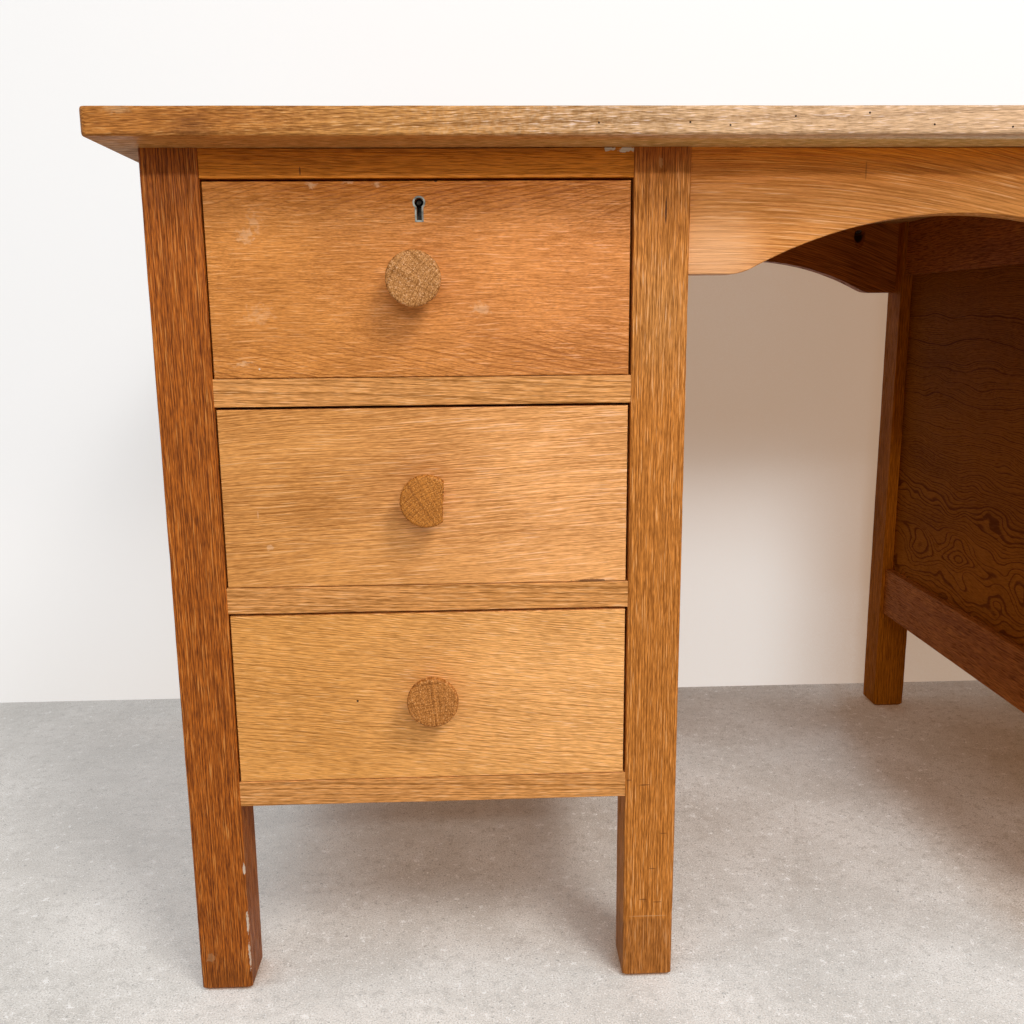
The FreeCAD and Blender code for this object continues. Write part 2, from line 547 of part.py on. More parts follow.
def drawer(side_name, level):
    """One drawer: front, dovetailed box, bottom, knob and, in a top drawer, a lock."""
    side = SIDES[side_name]
    name = side_name + "_" + level + "_drawer"
    u0 = LEG_WIDTH + DRAWER_OUTER_GAP
    u1 = LEG_WIDTH + OPENING_WIDTH - DRAWER_INNER_GAP
    z0 = LEVELS[level] + DRAWER_RUNNING_GAP
    z1 = LEVELS[level] + OPENINGS[level] - DRAWER_TOP_GAP
    side_z1 = z1 - DRAWER_SIDE_DROP
    floor_z0 = z0 + DRAWER_FLOOR_LIFT
    floor_z1 = floor_z0 + DRAWER_FLOOR_THICKNESS
    thick = DRAWER_SIDE_THICKNESS
    groove = DRAWER_FLOOR_GROOVE
    floor = block(side, u0 + thick - groove, u1 - thick + groove, DRAWER_INSIDE - groove, DRAWER_END,
                  floor_z0, floor_z1)
    front = block(side, u0, u1, DRAWER_FACE, DRAWER_INSIDE, z0, z1)
    arrises = [e for e in front.Edges if e.BoundBox.YMax < DRAWER_FACE + TOUCH]
    front = front.makeFillet(DRAWER_FRONT_ARRIS, arrises)
    back_root = DRAWER_END - DRAWER_BACK_THICKNESS
    back = block(side, u0, u1, back_root, DRAWER_END, floor_z1, side_z1 - DRAWER_BACK_DROP)
    tail_tip = DRAWER_FACE + DOVETAIL_LAP
    sides = []
    for start, stop in ((u0, u0 + thick), (u1 - thick, u1)):
        front_tails = dovetails(side, start, stop, DRAWER_INSIDE, tail_tip, z0, side_z1)
        rear_tails = dovetails(side, start, stop, back_root, DRAWER_END, floor_z1, side_z1 - DRAWER_BACK_DROP)
        front = front.cut(front_tails)
        back = back.cut(rear_tails)
        board = block(side, start, stop, DRAWER_INSIDE, DRAWER_END, z0, side_z1)
        sides.append(join(board, front_tails).cut(floor))
    sides = [board.cut(back) for board in sides]
    front = front.cut(floor)

    x = across(side, OPENING_MIDDLE + KNOB_SHIFTS[level])
    z = LEVELS[level] + OPENINGS[level] / 2 + KNOB_LIFTS[level]
    front = front.cut(rod(x, DRAWER_FACE, DRAWER_INSIDE, z, KNOB_SPIGOT_RADIUS + FIT))
    pull = knob(x, z)
    if name == "left_middle_drawer":
        pull = pull.cut(split_off(x, z))
    if level == "top":
        case, bolt, ring, screws, cuts = lock(across(side, OPENING_MIDDLE), z1)
        front = front.cut(cuts)
        keep(side_name + "_lock_case", case)
        keep(side_name + "_lock_bolt", bolt)
        keep(side_name + "_escutcheon", ring)
        keep(side_name + "_lock_screws", *screws)
    keep(name + "_front", front)
    keep(name + "_box", *sides, back)
    keep(name + "_bottom", floor)
    keep(name + "_knob", pull)


for side_name, side in SIDES.items():
    rail_bottoms = [z - RAIL_THICKNESS for z in LEVELS.values()]
    keep(side_name + "_drawer_rails", *[front_rail(side, z) for z in rail_bottoms])
    keep(side_name + "_top_rail", front_rail(side, LEG_HEIGHT - RAIL_THICKNESS).cut(bolt_mortise(side)))
    side_rails = []
    side_panels = []
    for u0, u1 in both_sides(FRAME_SETBACK, FRAME_INSIDE):
        rails, panel = side_frame(side, u0, u1)
        side_rails.extend(rails)
        side_panels.append(panel)
    keep(side_name + "_side_rails", *side_rails)
    keep(side_name + "_side_panels", *side_panels)
    back_rails, back_panel = back_frame(side)
    keep(side_name + "_back_rails", *back_rails)
    keep(side_name + "_back_panel", back_panel)
    runners, guides = carriers(side)
    keep(side_name + "_drawer_runners", *runners)
    keep(side_name + "_drawer_guides", *guides)
    for level in LEVELS:
        drawer(side_name, level)

front_apron_y = FRONT + APRON_SETBACK
rear_apron_y = REAR - APRON_SETBACK - APRON_THICKNESS
front_apron = apron(front_apron_y, front_apron_y, front_apron_y + APRON_THICKNESS)
rear_apron = apron(rear_apron_y, rear_apron_y + APRON_THICKNESS, rear_apron_y)
keep("front_apron", housed(front_apron, TOP_SCREW_HOLES))
keep("rear_apron", housed(rear_apron, TOP_SCREW_HOLES))

for side_name, side in SIDES.items():
    for place, u0 in (("outer", 0.0), ("inner", PEDESTAL_WIDTH - LEG_WIDTH)):
        for end, y0 in (("front", FRONT), ("rear", REAR - LEG_WIDTH)):
            keep(side_name + "_" + place + "_" + end + "_leg", leg(side, u0, y0))

keep("desk_top", *desk_top())
keep("top_screws", *TOP_SCREWS)

os.makedirs("parts", exist_ok=True)
for name, shape in NODES.items():
    shape.exportStep("parts/" + name + ".step")
    state = "valid" if shape.isValid() else "NOT VALID"
    print(name, len(shape.Solids), "solids", round(shape.Volume / 1000, 2), "cm3", state)
print(len(NODES), "pieces")
print("Top", 2 * TOP_HALF_LENGTH, "by", TOP_DEPTH, "mm, height", LEG_HEIGHT + TOP_THICKNESS, "mm")
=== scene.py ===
# %% [markdown]
# # A worn oak pedestal desk
# The desk is joinery: eight square legs, rails tenoned between them, thin panels, six drawers and a
# top of five boards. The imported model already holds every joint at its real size, so this lesson never
# moves it. It gives each piece the oak that it was sawn from, and it carves the legs, the rails, the
# top boards and the knobs again with the rounded, dented arrises that years of use leave.

# %% Load the frame
import math

import bmesh
import bpy
import numpy as np
from mathutils import Euler, Matrix, Vector


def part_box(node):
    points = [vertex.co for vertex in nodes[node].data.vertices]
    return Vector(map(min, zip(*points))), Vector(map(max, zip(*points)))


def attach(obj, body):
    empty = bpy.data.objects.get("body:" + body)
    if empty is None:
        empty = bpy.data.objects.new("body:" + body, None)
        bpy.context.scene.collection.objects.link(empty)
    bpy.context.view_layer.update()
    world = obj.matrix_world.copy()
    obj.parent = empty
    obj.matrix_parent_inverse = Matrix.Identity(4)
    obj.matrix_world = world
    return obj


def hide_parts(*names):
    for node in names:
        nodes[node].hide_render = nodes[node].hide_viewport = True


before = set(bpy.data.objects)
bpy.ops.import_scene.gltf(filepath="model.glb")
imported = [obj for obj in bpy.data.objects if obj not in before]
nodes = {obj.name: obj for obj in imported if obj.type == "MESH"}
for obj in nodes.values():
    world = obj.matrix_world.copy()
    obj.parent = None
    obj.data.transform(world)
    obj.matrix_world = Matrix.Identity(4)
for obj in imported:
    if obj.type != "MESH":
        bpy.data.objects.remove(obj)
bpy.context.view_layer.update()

MM = 0.001

# %% [markdown]
# ## Helpers for node trees
# Colours are written as the eye reads them, in sRGB hex, and Blender's nodes want linear light, so one
# function turns the first into the second. A second one adds a node: it sets the node's options, feeds
# its inputs from numbers or from other nodes, and hands back one output to feed the next node with.
# Two kinds of node are wanted again and again with the same options, so these are named once: a Map
# Range node that eases in and out, and a Mix node that blends colours.

# %% Colours and nodes
EASED = {"interpolation_type": "SMOOTHSTEP"}
COLOURS = {"data_type": "RGBA"}
# A Mix node numbers its sockets. These are its share, its two colours and the colour that comes out.
SHARE = 0
FIRST = 6
SECOND = 7
MIXED = 2


def to_linear(hex_colour):
    """Linear red, green, blue and alpha of an sRGB hex colour."""
    channels = np.array([int(hex_colour[i:i + 2], 16) for i in (1, 3, 5)]) / 255
    linear = np.where(channels <= 0.04045, channels / 12.92, ((channels + 0.055) / 1.055) ** 2.4)
    return (*linear.tolist(), 1.0)


def put(tree, kind, feeds=(), output=0, **options):
    """Adds a node with its options, feeds its inputs in order or by name, and gives back one output."""
    made = tree.nodes.new("ShaderNode" + kind)
    for option, value in options.items():
        setattr(made, option, value)
    named = feeds if isinstance(feeds, dict) else dict(enumerate(feeds))
    for socket, value in named.items():
        if isinstance(value, bpy.types.NodeSocket):
            tree.links.new(value, made.inputs[socket])
        else:
            made.inputs[socket].default_value = value
    return made.outputs[output] if made.outputs else made


def start_material(name):
    """A new material with an empty node tree."""
    material = bpy.data.materials.new(name)
    material.use_nodes = True
    material.node_tree.nodes.clear()
    return material


print("white in linear light:", to_linear("#ffffff"))

# %% [markdown]
# ## How oak looks
# Oak is ring-porous. Each year it lays down a band of wide open vessels and then a band of dense wood.
# A board is a slice through those rings, so its figure depends on where the slice lay in the log: far
# from the pith the rings cross the face as straight stripes, close above it they open into arches.
# Working in the log's own frame therefore gives stripes, arches and end grain from one rule.
# Whatever runs with the grain is a noise drawn out along that frame. Real pores are at most 0.3 mm wide.
# Here pores are drawn about 0.5 mm wide and fibres about 1 mm, or they wouldn't show.

# %% The log's frame
AXES = {"x": Vector((1, 0, 0)), "y": Vector((0, 1, 0)), "z": Vector((0, 0, 1))}
# Each step of a piece's seed moves it this far along its log, in metres, to wood of its own.
SEED_STEP = 0.731
STREAK_ROUGHNESS = 0.6


def log_frame(centre, cut, seed):
    """Shift and turn from the desk's frame to the log's, whose first axis is the pith."""
    along, across = AXES[cut["along"]], AXES[cut["across"]]
    through = along.cross(across)
    lean, slant = (math.radians(angle) for angle in cut["lean"])
    turn = Euler((0, lean, slant)).to_matrix() @ Matrix((along, across, through))
    pith = centre + (across * cut["pith"][0] + through * cut["pith"][1]) * MM
    shift = turn @ -pith + Vector((seed * SEED_STEP, 0, 0))
    return shift, turn.to_euler()


def streaks(tree, grain, long, short, detail, output=0, sheet=1.0):
    """Noise drawn out along the grain, with streaks of about long by short millimetres, and through the
    board sheet times as deep as they are wide."""
    scale = (1 / (long * MM), 1 / (short * MM), 1 / (short * sheet * MM))
    drawn = put(tree, "Mapping", {"Vector": grain, "Scale": scale})
    feeds = {"Vector": drawn, "Scale": 1.0, "Detail": detail, "Roughness": STREAK_ROUGHNESS}
    return put(tree, "TexNoise", feeds, output)


print("grain can run along", *AXES)

# %% [markdown]
# ## Grain and rings
# A tree doesn't grow straight: its log bows along its length, and smaller bends push the grain sideways.
# A ring is a distance from the pith, counted in years, and the fraction of a year is the season. Years
# aren't all as wide, so a noise shifts the count. Where the face of a plain board lies along a ring, the
# spring band is cut so flat that it melts away. On end grain, rays cross the rings: a noise that changes
# quickly with the angle about the pith.

# %% Bent grain
NOISE_MIDDLE = 0.5
BEND_DETAIL = 1.5


def bent_grain(tree, place, offset, centre, cut, seed):
    """Places in the log's frame, bowed by the square of the way along the log, and bent by a noise."""
    shift, turn = log_frame(centre, cut, seed)
    grain = put(tree, "Mapping", {"Vector": place, "Location": shift, "Rotation": turn})
    vertex, curve = cut.get("bow", (0, 0))
    along = put(tree, "VectorMath", (offset, AXES[cut["along"]]), "Value", operation="DOT_PRODUCT")
    along = put(tree, "Math", (along, vertex * MM), operation="SUBTRACT")
    squared = put(tree, "Math", (along, along), operation="MULTIPLY")
    bow = put(tree, "Math", (squared, -curve), operation="MULTIPLY")
    bow = put(tree, "CombineXYZ", {"Y": bow})
    long, short, swing = cut["bend"]
    bend = streaks(tree, grain, long, short, BEND_DETAIL, "Color")
    bend = put(tree, "VectorMath", (bend, [NOISE_MIDDLE] * 3), operation="SUBTRACT")
    reach = (0, 2 * swing * MM, 2 * swing * MM)
    bend = put(tree, "VectorMath", (bend, reach, bow), operation="MULTIPLY_ADD")
    return put(tree, "VectorMath", (grain, bend), operation="ADD")


print("bends swing about a noise of", NOISE_MIDDLE)

# %% Rings and rays
# How quickly the widths of the years change, and by how many years they shift the count.
YEAR_CHANGE = 0.37
YEAR_SHIFT = 2.2
# Spring wood has ended at this share of a year, and begins again at the other.
SPRING_ENDS = 0.4
SPRING_BEGINS = 0.94


def spring_bands(tree, radial, cut):
    """1 in spring wood and 0 in summer wood, by the distance from the pith."""
    radius = put(tree, "VectorMath", (radial,), "Value", operation="LENGTH")
    years = put(tree, "Math", (radius, 1 / (cut["ring"] * MM)), operation="MULTIPLY")
    uneven = put(tree, "TexNoise", {"W": years, "Scale": YEAR_CHANGE}, noise_dimensions="1D")
    years = put(tree, "Math", (uneven, YEAR_SHIFT, years), operation="MULTIPLY_ADD")
    season = put(tree, "Math", (years,), operation="FRACT")
    ending = put(tree, "MapRange", (season, SPRING_ENDS, 0.0), **EASED)
    beginning = put(tree, "MapRange", (season, SPRING_BEGINS, 1.0), **EASED)
    spring = put(tree, "Math", (ending, beginning), operation="MAXIMUM")
    if "melt" in cut:
        sideways = put(tree, "VectorMath", (radial, AXES["y"]), "Value", operation="DOT_PRODUCT")
        sideways = put(tree, "Math", (sideways,), operation="ABSOLUTE")
        steep = put(tree, "Math", (sideways, radius), operation="DIVIDE")
        shown = put(tree, "MapRange", (steep, *cut["melt"]), **EASED)
        spring = put(tree, "Math", (spring, shown), operation="MULTIPLY")
    return spring


def end_rays(tree, radial, cut):
    """Noise by the angle about the pith, drawn so that a ray is as wide as the cut says."""
    turned = put(tree, "SeparateXYZ", (radial,)).node.outputs
    angle = put(tree, "Math", (turned["Z"], turned["Y"]), operation="ARCTAN2")
    rays_per_radian = math.hypot(*cut["pith"]) / cut["rays"]
    counted = put(tree, "Math", (angle, rays_per_radian), operation="MULTIPLY")
    return put(tree, "TexNoise", {"W": counted, "Scale": 1.0, "Detail": 1.0}, noise_dimensions="1D")


print("spring wood fills", round(SPRING_ENDS + 1 - SPRING_BEGINS, 2), "of a year")

# %% [markdown]
# ## The colour of the wood
# What the eye sees first is a dense field of dark and pale pores and fibres, then the yearly bands, then
# slow changes of tone along the board. They all push one number up or down, and that number picks a
# colour between the board's dark and its pale. Vessels are dark lines on top, where a noise crosses its
# middle. Pale fibres break them, and spring wood has more of them. On the palest fibres, dried wax
# leaves bright flecks.

# %% Clean wood
PORE_LENGTH = 8
PORE_WIDTH = 0.55
FINE_DETAIL = 1.0
DRIFT_DETAIL = 0.6
USUAL_LEVEL = 0.5
# Spring bands can only darken, so the level is raised by a share of their contrast.
FIGURE_RAISE = 0.4
RAY_CONTRAST = 1.0
# How far from its middle the noise of the vessels is where their lines begin, and where they are full.
LINE_BEGINS = 0.10
LINE_FULL = 0.03
# The noise of the fibres where it breaks a vessel, where it doesn't, and what spring wood adds to it.
VESSEL_BROKEN = 0.56
VESSEL_WHOLE = 0.40
SPRING_ADDS = -0.1
FLECK_BEGINS = 0.60
FLECK_FULL = 0.74


def clean_wood(tree, grain, tone, cut):
    """The colour of the wood before any wear, its fibres and its vessels."""
    radial = put(tree, "VectorMath", (grain, (0, 1, 1)), operation="MULTIPLY")
    spring = spring_bands(tree, radial, cut)
    rays = end_rays(tree, radial, cut) if "rays" in cut else NOISE_MIDDLE
    rays = put(tree, "Math", (rays, NOISE_MIDDLE), operation="SUBTRACT")
    depth = cut.get("sheet", 1.0)
    pores = streaks(tree, grain, PORE_LENGTH, PORE_WIDTH, FINE_DETAIL)
    fibres = streaks(tree, grain, *cut["fibres"], FINE_DETAIL, sheet=depth)
    drift = streaks(tree, grain, *cut["drift"], DRIFT_DETAIL)
    spread = tone["pores"] + tone["fibre"] + tone["drift"]
    level = tone.get("level", USUAL_LEVEL) - spread * NOISE_MIDDLE + FIGURE_RAISE * tone["figure"]
    patterns = ((pores, tone["pores"]), (fibres, tone["fibre"]), (spring, -tone["figure"]),
                (drift, tone["drift"]), (rays, RAY_CONTRAST))
    for pattern, contrast in patterns:
        level = put(tree, "Math", (pattern, contrast, level), operation="MULTIPLY_ADD")

    crossing = streaks(tree, grain, *cut["vessels"], FINE_DETAIL, sheet=depth)
    crossing = put(tree, "Math", (crossing, NOISE_MIDDLE), operation="SUBTRACT")
    crossing = put(tree, "Math", (crossing,), operation="ABSOLUTE")
    lines = put(tree, "MapRange", (crossing, LINE_BEGINS, LINE_FULL), **EASED)
    whole = put(tree, "Math", (spring, SPRING_ADDS, fibres), operation="MULTIPLY_ADD")
    whole = put(tree, "MapRange", (whole, VESSEL_BROKEN, VESSEL_WHOLE), **EASED)
    vessels = put(tree, "Math", (lines, whole), operation="MULTIPLY")
    vessel_share = put(tree, "Math", (vessels, tone["vessel"]), operation="MULTIPLY")
    fleck_share = put(tree, "MapRange", (fibres, FLECK_BEGINS, FLECK_FULL, 0.0, tone["fleck"]), **EASED)
    colour = to_linear(tone["dark"])
    for share, layer in ((level, "pale"), (vessel_share, "pore"), (fleck_share, "bright")):
        feeds = {SHARE: share, FIRST: colour, SECOND: to_linear(tone[layer])}
        colour = put(tree, "Mix", feeds, MIXED, **COLOURS)
    return colour, fibres, vessels


print("pores are drawn", PORE_LENGTH, "mm long and", PORE_WIDTH, "mm wide")

# %% [markdown]
# ## Wear and marks
# Hands and knees rub the arrises pale. Across the grain, the depths below the faces of a piece's box add
# up to nothing on an arris, so their sum finds it, and a noise makes the rubbed line ragged.
# Dents, stains, nail holes, painted shade and painted light are marks: soft ellipsoids with a ragged
# edge, each at its own place.
# A mark either covers the wood with a colour, or multiplies the wood's own by a gain, which bleaches
# or darkens it and leaves its grain to be seen.

# %% Rubbed arrises
ARRIS_WEAR = 3 * MM
# The rubbed line begins and is full at these shares of the wear, and this much of it shows.
RUB_BEGINS = -0.52
RUB_FULL = -0.66
RUB_SHOWN = 0.7


def rubbed_share(tree, offset, half, ragged, along):
    """How much an arris is rubbed: more, the smaller the sum of the depths below the faces is."""
    inside = put(tree, "VectorMath", (offset,), operation="ABSOLUTE")
    depth = put(tree, "VectorMath", (half, inside), operation="SUBTRACT")
    across = Vector((1, 1, 1)) - AXES[along]
    arris = put(tree, "VectorMath", (depth, across), "Value", operation="DOT_PRODUCT")
    worn = put(tree, "Math", (ragged, -ARRIS_WEAR, arris), operation="MULTIPLY_ADD")
    limits = (RUB_BEGINS * ARRIS_WEAR, RUB_FULL * ARRIS_WEAR, 0.0, RUB_SHOWN)
    return put(tree, "MapRange", (worn, *limits), **EASED)


print("arrises are rubbed within", ARRIS_WEAR / MM, "mm")

# %% Marks
USUAL_SOFTNESS = 0.4
UNCHANGED = (1, 1, 1, 1)


def mark_share(tree, place, ragged, mark):
    """How far a point lies in a mark: 1 inside its ellipsoid, 0 outside, with a ragged edge."""
    scale = Vector([1 / (size * MM) for size in mark["size"]])
    middle = Vector([-at * MM * s for at, s in zip(mark["at"], scale)])
    local = put(tree, "Mapping", {"Vector": place, "Location": middle, "Scale": scale})
    distance = put(tree, "VectorMath", (local,), "Value", operation="LENGTH")
    rough_edge = mark.get("ragged", 0.0)
    uneven = put(tree, "Math", (ragged, rough_edge, distance), operation="MULTIPLY_ADD")
    edge = 1.0 + rough_edge * NOISE_MIDDLE
    limits = (edge, edge - mark.get("soft", USUAL_SOFTNESS), 0.0, mark.get("share", 1.0))
    return put(tree, "MapRange", (uneven, *limits), **EASED)


def add_marks(tree, place, ragged, marks, colour, hollow):
    """Lays marks over a colour, one after another, and adds their dents to the hollows."""
    for mark in marks:
        share = mark_share(tree, place, ragged, mark)
        if "gain" in mark:
            feeds = {SHARE: share, FIRST: UNCHANGED, SECOND: (*mark["gain"], 1)}
            gain = put(tree, "Mix", feeds, MIXED, **COLOURS)
            feeds = {SHARE: 1.0, FIRST: colour, SECOND: gain}
            colour = put(tree, "Mix", feeds, MIXED, blend_type="MULTIPLY", **COLOURS)
        else:
            feeds = {SHARE: share, FIRST: colour, SECOND: to_linear(mark["colour"])}
            colour = put(tree, "Mix", feeds, MIXED, **COLOURS)
        hollow = put(tree, "Math", (share, mark.get("relief", 0.0), hollow), operation="MULTIPLY_ADD")
    return colour, hollow


print("a mark's edge is", USUAL_SOFTNESS, "of its size soft, unless it says otherwise")

# %% [markdown]
# ## One oak for every piece
# The finish is an old oil and wax: satin, and rougher where the vessels are open. Grain, colour, wear and
# marks meet here. The fibres stand proud by a fraction of a millimetre, and vessels and dents lie deeper.

# %% The oak
OAK_GLOSS = 0.22
OAK_SATIN = 0.46
VESSEL_ROUGHNESS = 0.75
RAGGED_SIZE = 3 * MM
RAGGED_DETAIL = 3.0
FIBRE_RELIEF = 2.0
OAK_BUMP = 0.6
OAK_BUMP_HEIGHT = 0.3 * MM


def oak(name, corners, tone, cut, seed, marks=()):
    """Oiled oak sawn as cut says from a log, in the colours of tone, with its marks."""
    low, high = corners
    centre, half = (low + high) / 2, (high - low) / 2
    material = start_material(name)
    tree = material.node_tree
    place = put(tree, "TexCoord", output="Object")
    offset = put(tree, "VectorMath", (place, centre), operation="SUBTRACT")
    grain = bent_grain(tree, place, offset, centre, cut, seed)
    colour, fibres, vessels = clean_wood(tree, grain, tone, cut)
    feeds = {"Vector": place, "Scale": 1 / RAGGED_SIZE, "Detail": RAGGED_DETAIL}
    ragged = put(tree, "TexNoise", feeds)
    rubbed = rubbed_share(tree, offset, half, ragged, cut["along"])
    feeds = {SHARE: rubbed, FIRST: colour, SECOND: to_linear(tone["bright"])}
    colour = put(tree, "Mix", feeds, MIXED, **COLOURS)
    hollow = put(tree, "Math", (vessels, -1.0), operation="MULTIPLY")
    colour, hollow = add_marks(tree, place, ragged, marks, colour, hollow)
    height = put(tree, "Math", (fibres, FIBRE_RELIEF, hollow), operation="MULTIPLY_ADD")
    bump = put(tree, "Bump", {"Strength": OAK_BUMP, "Distance": OAK_BUMP_HEIGHT, "Height": height})
    limits = (0.0, 1.0, tone.get("satin", OAK_SATIN), VESSEL_ROUGHNESS)
    roughness = put(tree, "MapRange", (vessels, *limits), **EASED)
    feeds = {"Base Color": colour, "Roughness": roughness, "Normal": bump,
             "Specular IOR Level": tone.get("gloss", OAK_GLOSS)}
    shader = put(tree, "BsdfPrincipled", feeds)
    put(tree, "OutputMaterial", {"Surface": shader})
    return material


def dress(node, material):
    """Gives a CAD node its finish."""
    for slot in nodes[node].material_slots:
        slot.material = material


print("oak is as rough as", OAK_SATIN, "and its open vessels as", VESSEL_ROUGHNESS)

# %% [markdown]
# ## How each piece was sawn
# A cut says which way the grain runs, which way is across the face, where the pith lay from the middle
# of the piece, how wide a year's ring is, how the pith leans, and how far the grain wanders. All of
# these are in millimetres or degrees. The lengths of bends, fibres, vessels and drift come before their
# widths. Some cuts say more: "melt" is how steeply a ring must meet the face to show as a band, "sheet"
# draws the fibres deeper or shallower than they are wide, "rays" is the width of a ray on end grain, and
# "bow" is where along the piece the log bows and how sharply.

# %% Cuts
RIFT_POST = {"along": "z", "across": "x", "pith": (150, 120), "ring": 1.8, "lean": (0.4, 0.3),
             "bend": (260, 40, 1.6), "fibres": (28, 0.95), "vessels": (44, 2.0), "drift": (260, 40)}
RIFT_RAIL = {"along": "x", "across": "z", "pith": (110, -120), "ring": 1.9, "lean": (0.6, 0.8),
             "bend": (180, 30, 2.0), "fibres": (20, 0.95), "vessels": (34, 2.8), "drift": (150, 20)}
PLAIN_FRONT = {"along": "x", "across": "z", "pith": (0, -130), "ring": 1.7, "lean": (1.5, 0),
               "bend": (130, 40, 3.5), "fibres": (22, 0.95), "vessels": (30, 2.8), "drift": (80, 40),
               "melt": (0.25, 0.5), "sheet": 6.0}
PLAIN_BOARD = {"along": "x", "across": "y", "pith": (30, -80), "ring": 3.0, "lean": (0.9, 0.5),
               "bend": (210, 40, 4.0), "fibres": (11, 1.4), "vessels": (20, 3.4), "drift": (200, 24),
               "melt": (0.12, 0.35), "sheet": 0.62}
SIDE_RAIL = {"along": "y", "across": "z", "pith": (40, -80), "ring": 3.0, "lean": (0.8, 0.5),
             "bend": (180, 30, 2.5), "fibres": (18, 0.9), "vessels": (30, 2.2), "drift": (160, 20)}
PEELED_VENEER = {"along": "y", "across": "z", "pith": (-170, -420), "ring": 1.8, "lean": (0.5, 0.0),
                 "bend": (110, 58, 13), "fibres": (14, 1.2), "vessels": (30, 2.2), "drift": (180, 60)}
KNOB_BLANK = {"along": "y", "across": "x", "pith": (70, 45), "ring": 2.6, "lean": (1.0, 1.0),
              "bend": (60, 14, 0.8), "fibres": (20, 1.0), "vessels": (30, 2.4), "drift": (60, 14),
              "rays": 2.4}
print("cuts ready: posts, rails, fronts, boards, veneer and knob blanks")

# %% [markdown]
# ## The colours of the pieces
# The pieces came from different boards, and light has changed them unevenly: the outer leg is a dark
# red brown with fine pale lines, the legs towards the kneehole are lighter, and the edge of the top has
# bleached towards the middle, with a painted reflection over it there. Each drawer front below is
# painted paler than the one above, as light falls more fully on the lower ones, and shade is painted
# into the tones of the rear legs, the top rail, the frames and the panels. A tone has four colours, and
# then how strongly each pattern shows. Some say more: "level" makes the whole piece darker or paler,
# "gloss" and "satin" change its shine.

# %% Tones
LEG_DARK = {"dark": "#662c03", "pale": "#c66c1c", "pore": "#4f2003", "bright": "#da944c", "level": 0.44,
            "pores": 2.0, "fibre": 1.0, "figure": 0.5, "drift": 0.3, "vessel": 0.4, "fleck": 0.75}
LEG_LIGHT = {"dark": "#8c4e10", "pale": "#e5913e", "pore": "#703c0c", "bright": "#f0b478", "level": 0.44,
             "pores": 1.8, "fibre": 0.9, "figure": 0.4, "drift": 0.3, "vessel": 0.35, "fleck": 0.6}
# The rear legs stand in the desk's shade, and that shade is painted into their darker tone.
REAR_LEG_SHADE = {"dark": "#7c3d06", "pale": "#cb7016", "pore": "#602d04", "bright": "#d0822c", "gloss": 0.02,
            "pores": 1.0, "fibre": 1.2, "figure": 0.3, "drift": 0.8, "vessel": 0.4, "fleck": 0.2}
RAIL_TONE = {"dark": "#9c6326", "pale": "#f1a860", "pore": "#845120", "bright": "#fbcc98",
             "pores": 1.6, "fibre": 0.9, "figure": 0.5, "drift": 0.4, "vessel": 0.25, "fleck": 0.45}
# The top rail stands in the shade of the top, and that shade is painted into its deeper, more saturated
# tone.
TOP_RAIL_SHADE_TONE = {"dark": "#a85c0a", "pale": "#ea8e26", "pore": "#7e4206", "bright": "#f0a450",
                 "pores": 1.0, "fibre": 1.2, "figure": 0.2, "drift": 0.7, "vessel": 0.3, "fleck": 0.15,
                 "level": 0.6}
# The fronts are painted paler from top to bottom, as light falls more fully on the lower ones.
FRONT_TONES = {
    "top": {"dark": "#a66225", "pale": "#e99a4b", "pore": "#854a14", "bright": "#f9c08a", "level": 0.34,
            "pores": 1.5, "fibre": 0.7, "figure": 0.5, "drift": 0.7, "vessel": 0.2, "fleck": 0.4},
    "middle": {"dark": "#a8682a", "pale": "#f2aa5e", "pore": "#8a521c", "bright": "#ffd09c", "level": 0.45,
               "pores": 1.5, "fibre": 0.6, "figure": 0.4, "drift": 0.6, "vessel": 0.2, "fleck": 0.4},
    "bottom": {"dark": "#b07230", "pale": "#f9b05e", "pore": "#8a541c", "bright": "#ffd29a", "level": 0.5,
               "pores": 1.4, "fibre": 0.6, "figure": 0.5, "drift": 0.5, "vessel": 0.25, "fleck": 0.4},
}
APRON_TONE = {"dark": "#b86e2a", "pale": "#e89c50", "pore": "#96602c", "bright": "#fcd6ae",
              "pores": 1.2, "fibre": 1.1, "figure": 0.45, "drift": 0.9, "vessel": 0.25, "fleck": 0.35}
TOP_TONE = {"dark": "#8a541c", "pale": "#dc9c54", "pore": "#744616", "bright": "#f2cc9a",
            "pores": 1.6, "fibre": 1.2, "figure": 0.3, "drift": 0.6, "vessel": 0.3, "fleck": 0.4}
# Painted shade: this dark tone stands for the shade on the side and back rails and the rear apron.
SHADED_TONE = {"dark": "#843f0d", "pale": "#c87029", "pore": "#5c2a04", "bright": "#c67a36", "gloss": 0.05,
               "pores": 0.6, "fibre": 1.6, "figure": 0.2, "drift": 0.8, "vessel": 0.5, "fleck": 0.2}
# The veneer is dark wood, painted darker still for the shade of the kneehole.
VENEER_SHADE_TONE = {"dark": "#6a3206", "pale": "#a05916", "pore": "#4d2202", "bright": "#ac6220", "gloss": 0.01,
               "pores": 0.9, "fibre": 0.9, "figure": 0.9, "drift": 0.9, "vessel": 0.2, "fleck": 0.15}
KNOB_TONE = {"dark": "#885018", "pale": "#d38d46", "pore": "#6a3a0c", "bright": "#e8bc88",
             "pores": 1.6, "fibre": 1.8, "figure": 0.35, "drift": 0.5, "vessel": 0.2, "fleck": 0.6}
LINING_TONE = {"dark": "#c39b66", "pale": "#e6c99d", "pore": "#a67a49", "bright": "#f0dcba", "satin": 0.62,
               "pores": 0.6, "fibre": 1.2, "figure": 0.3, "drift": 0.7, "vessel": 0.3, "fleck": 0.2}
print("tones ready for", len(FRONT_TONES), "drawer fronts and the frame")

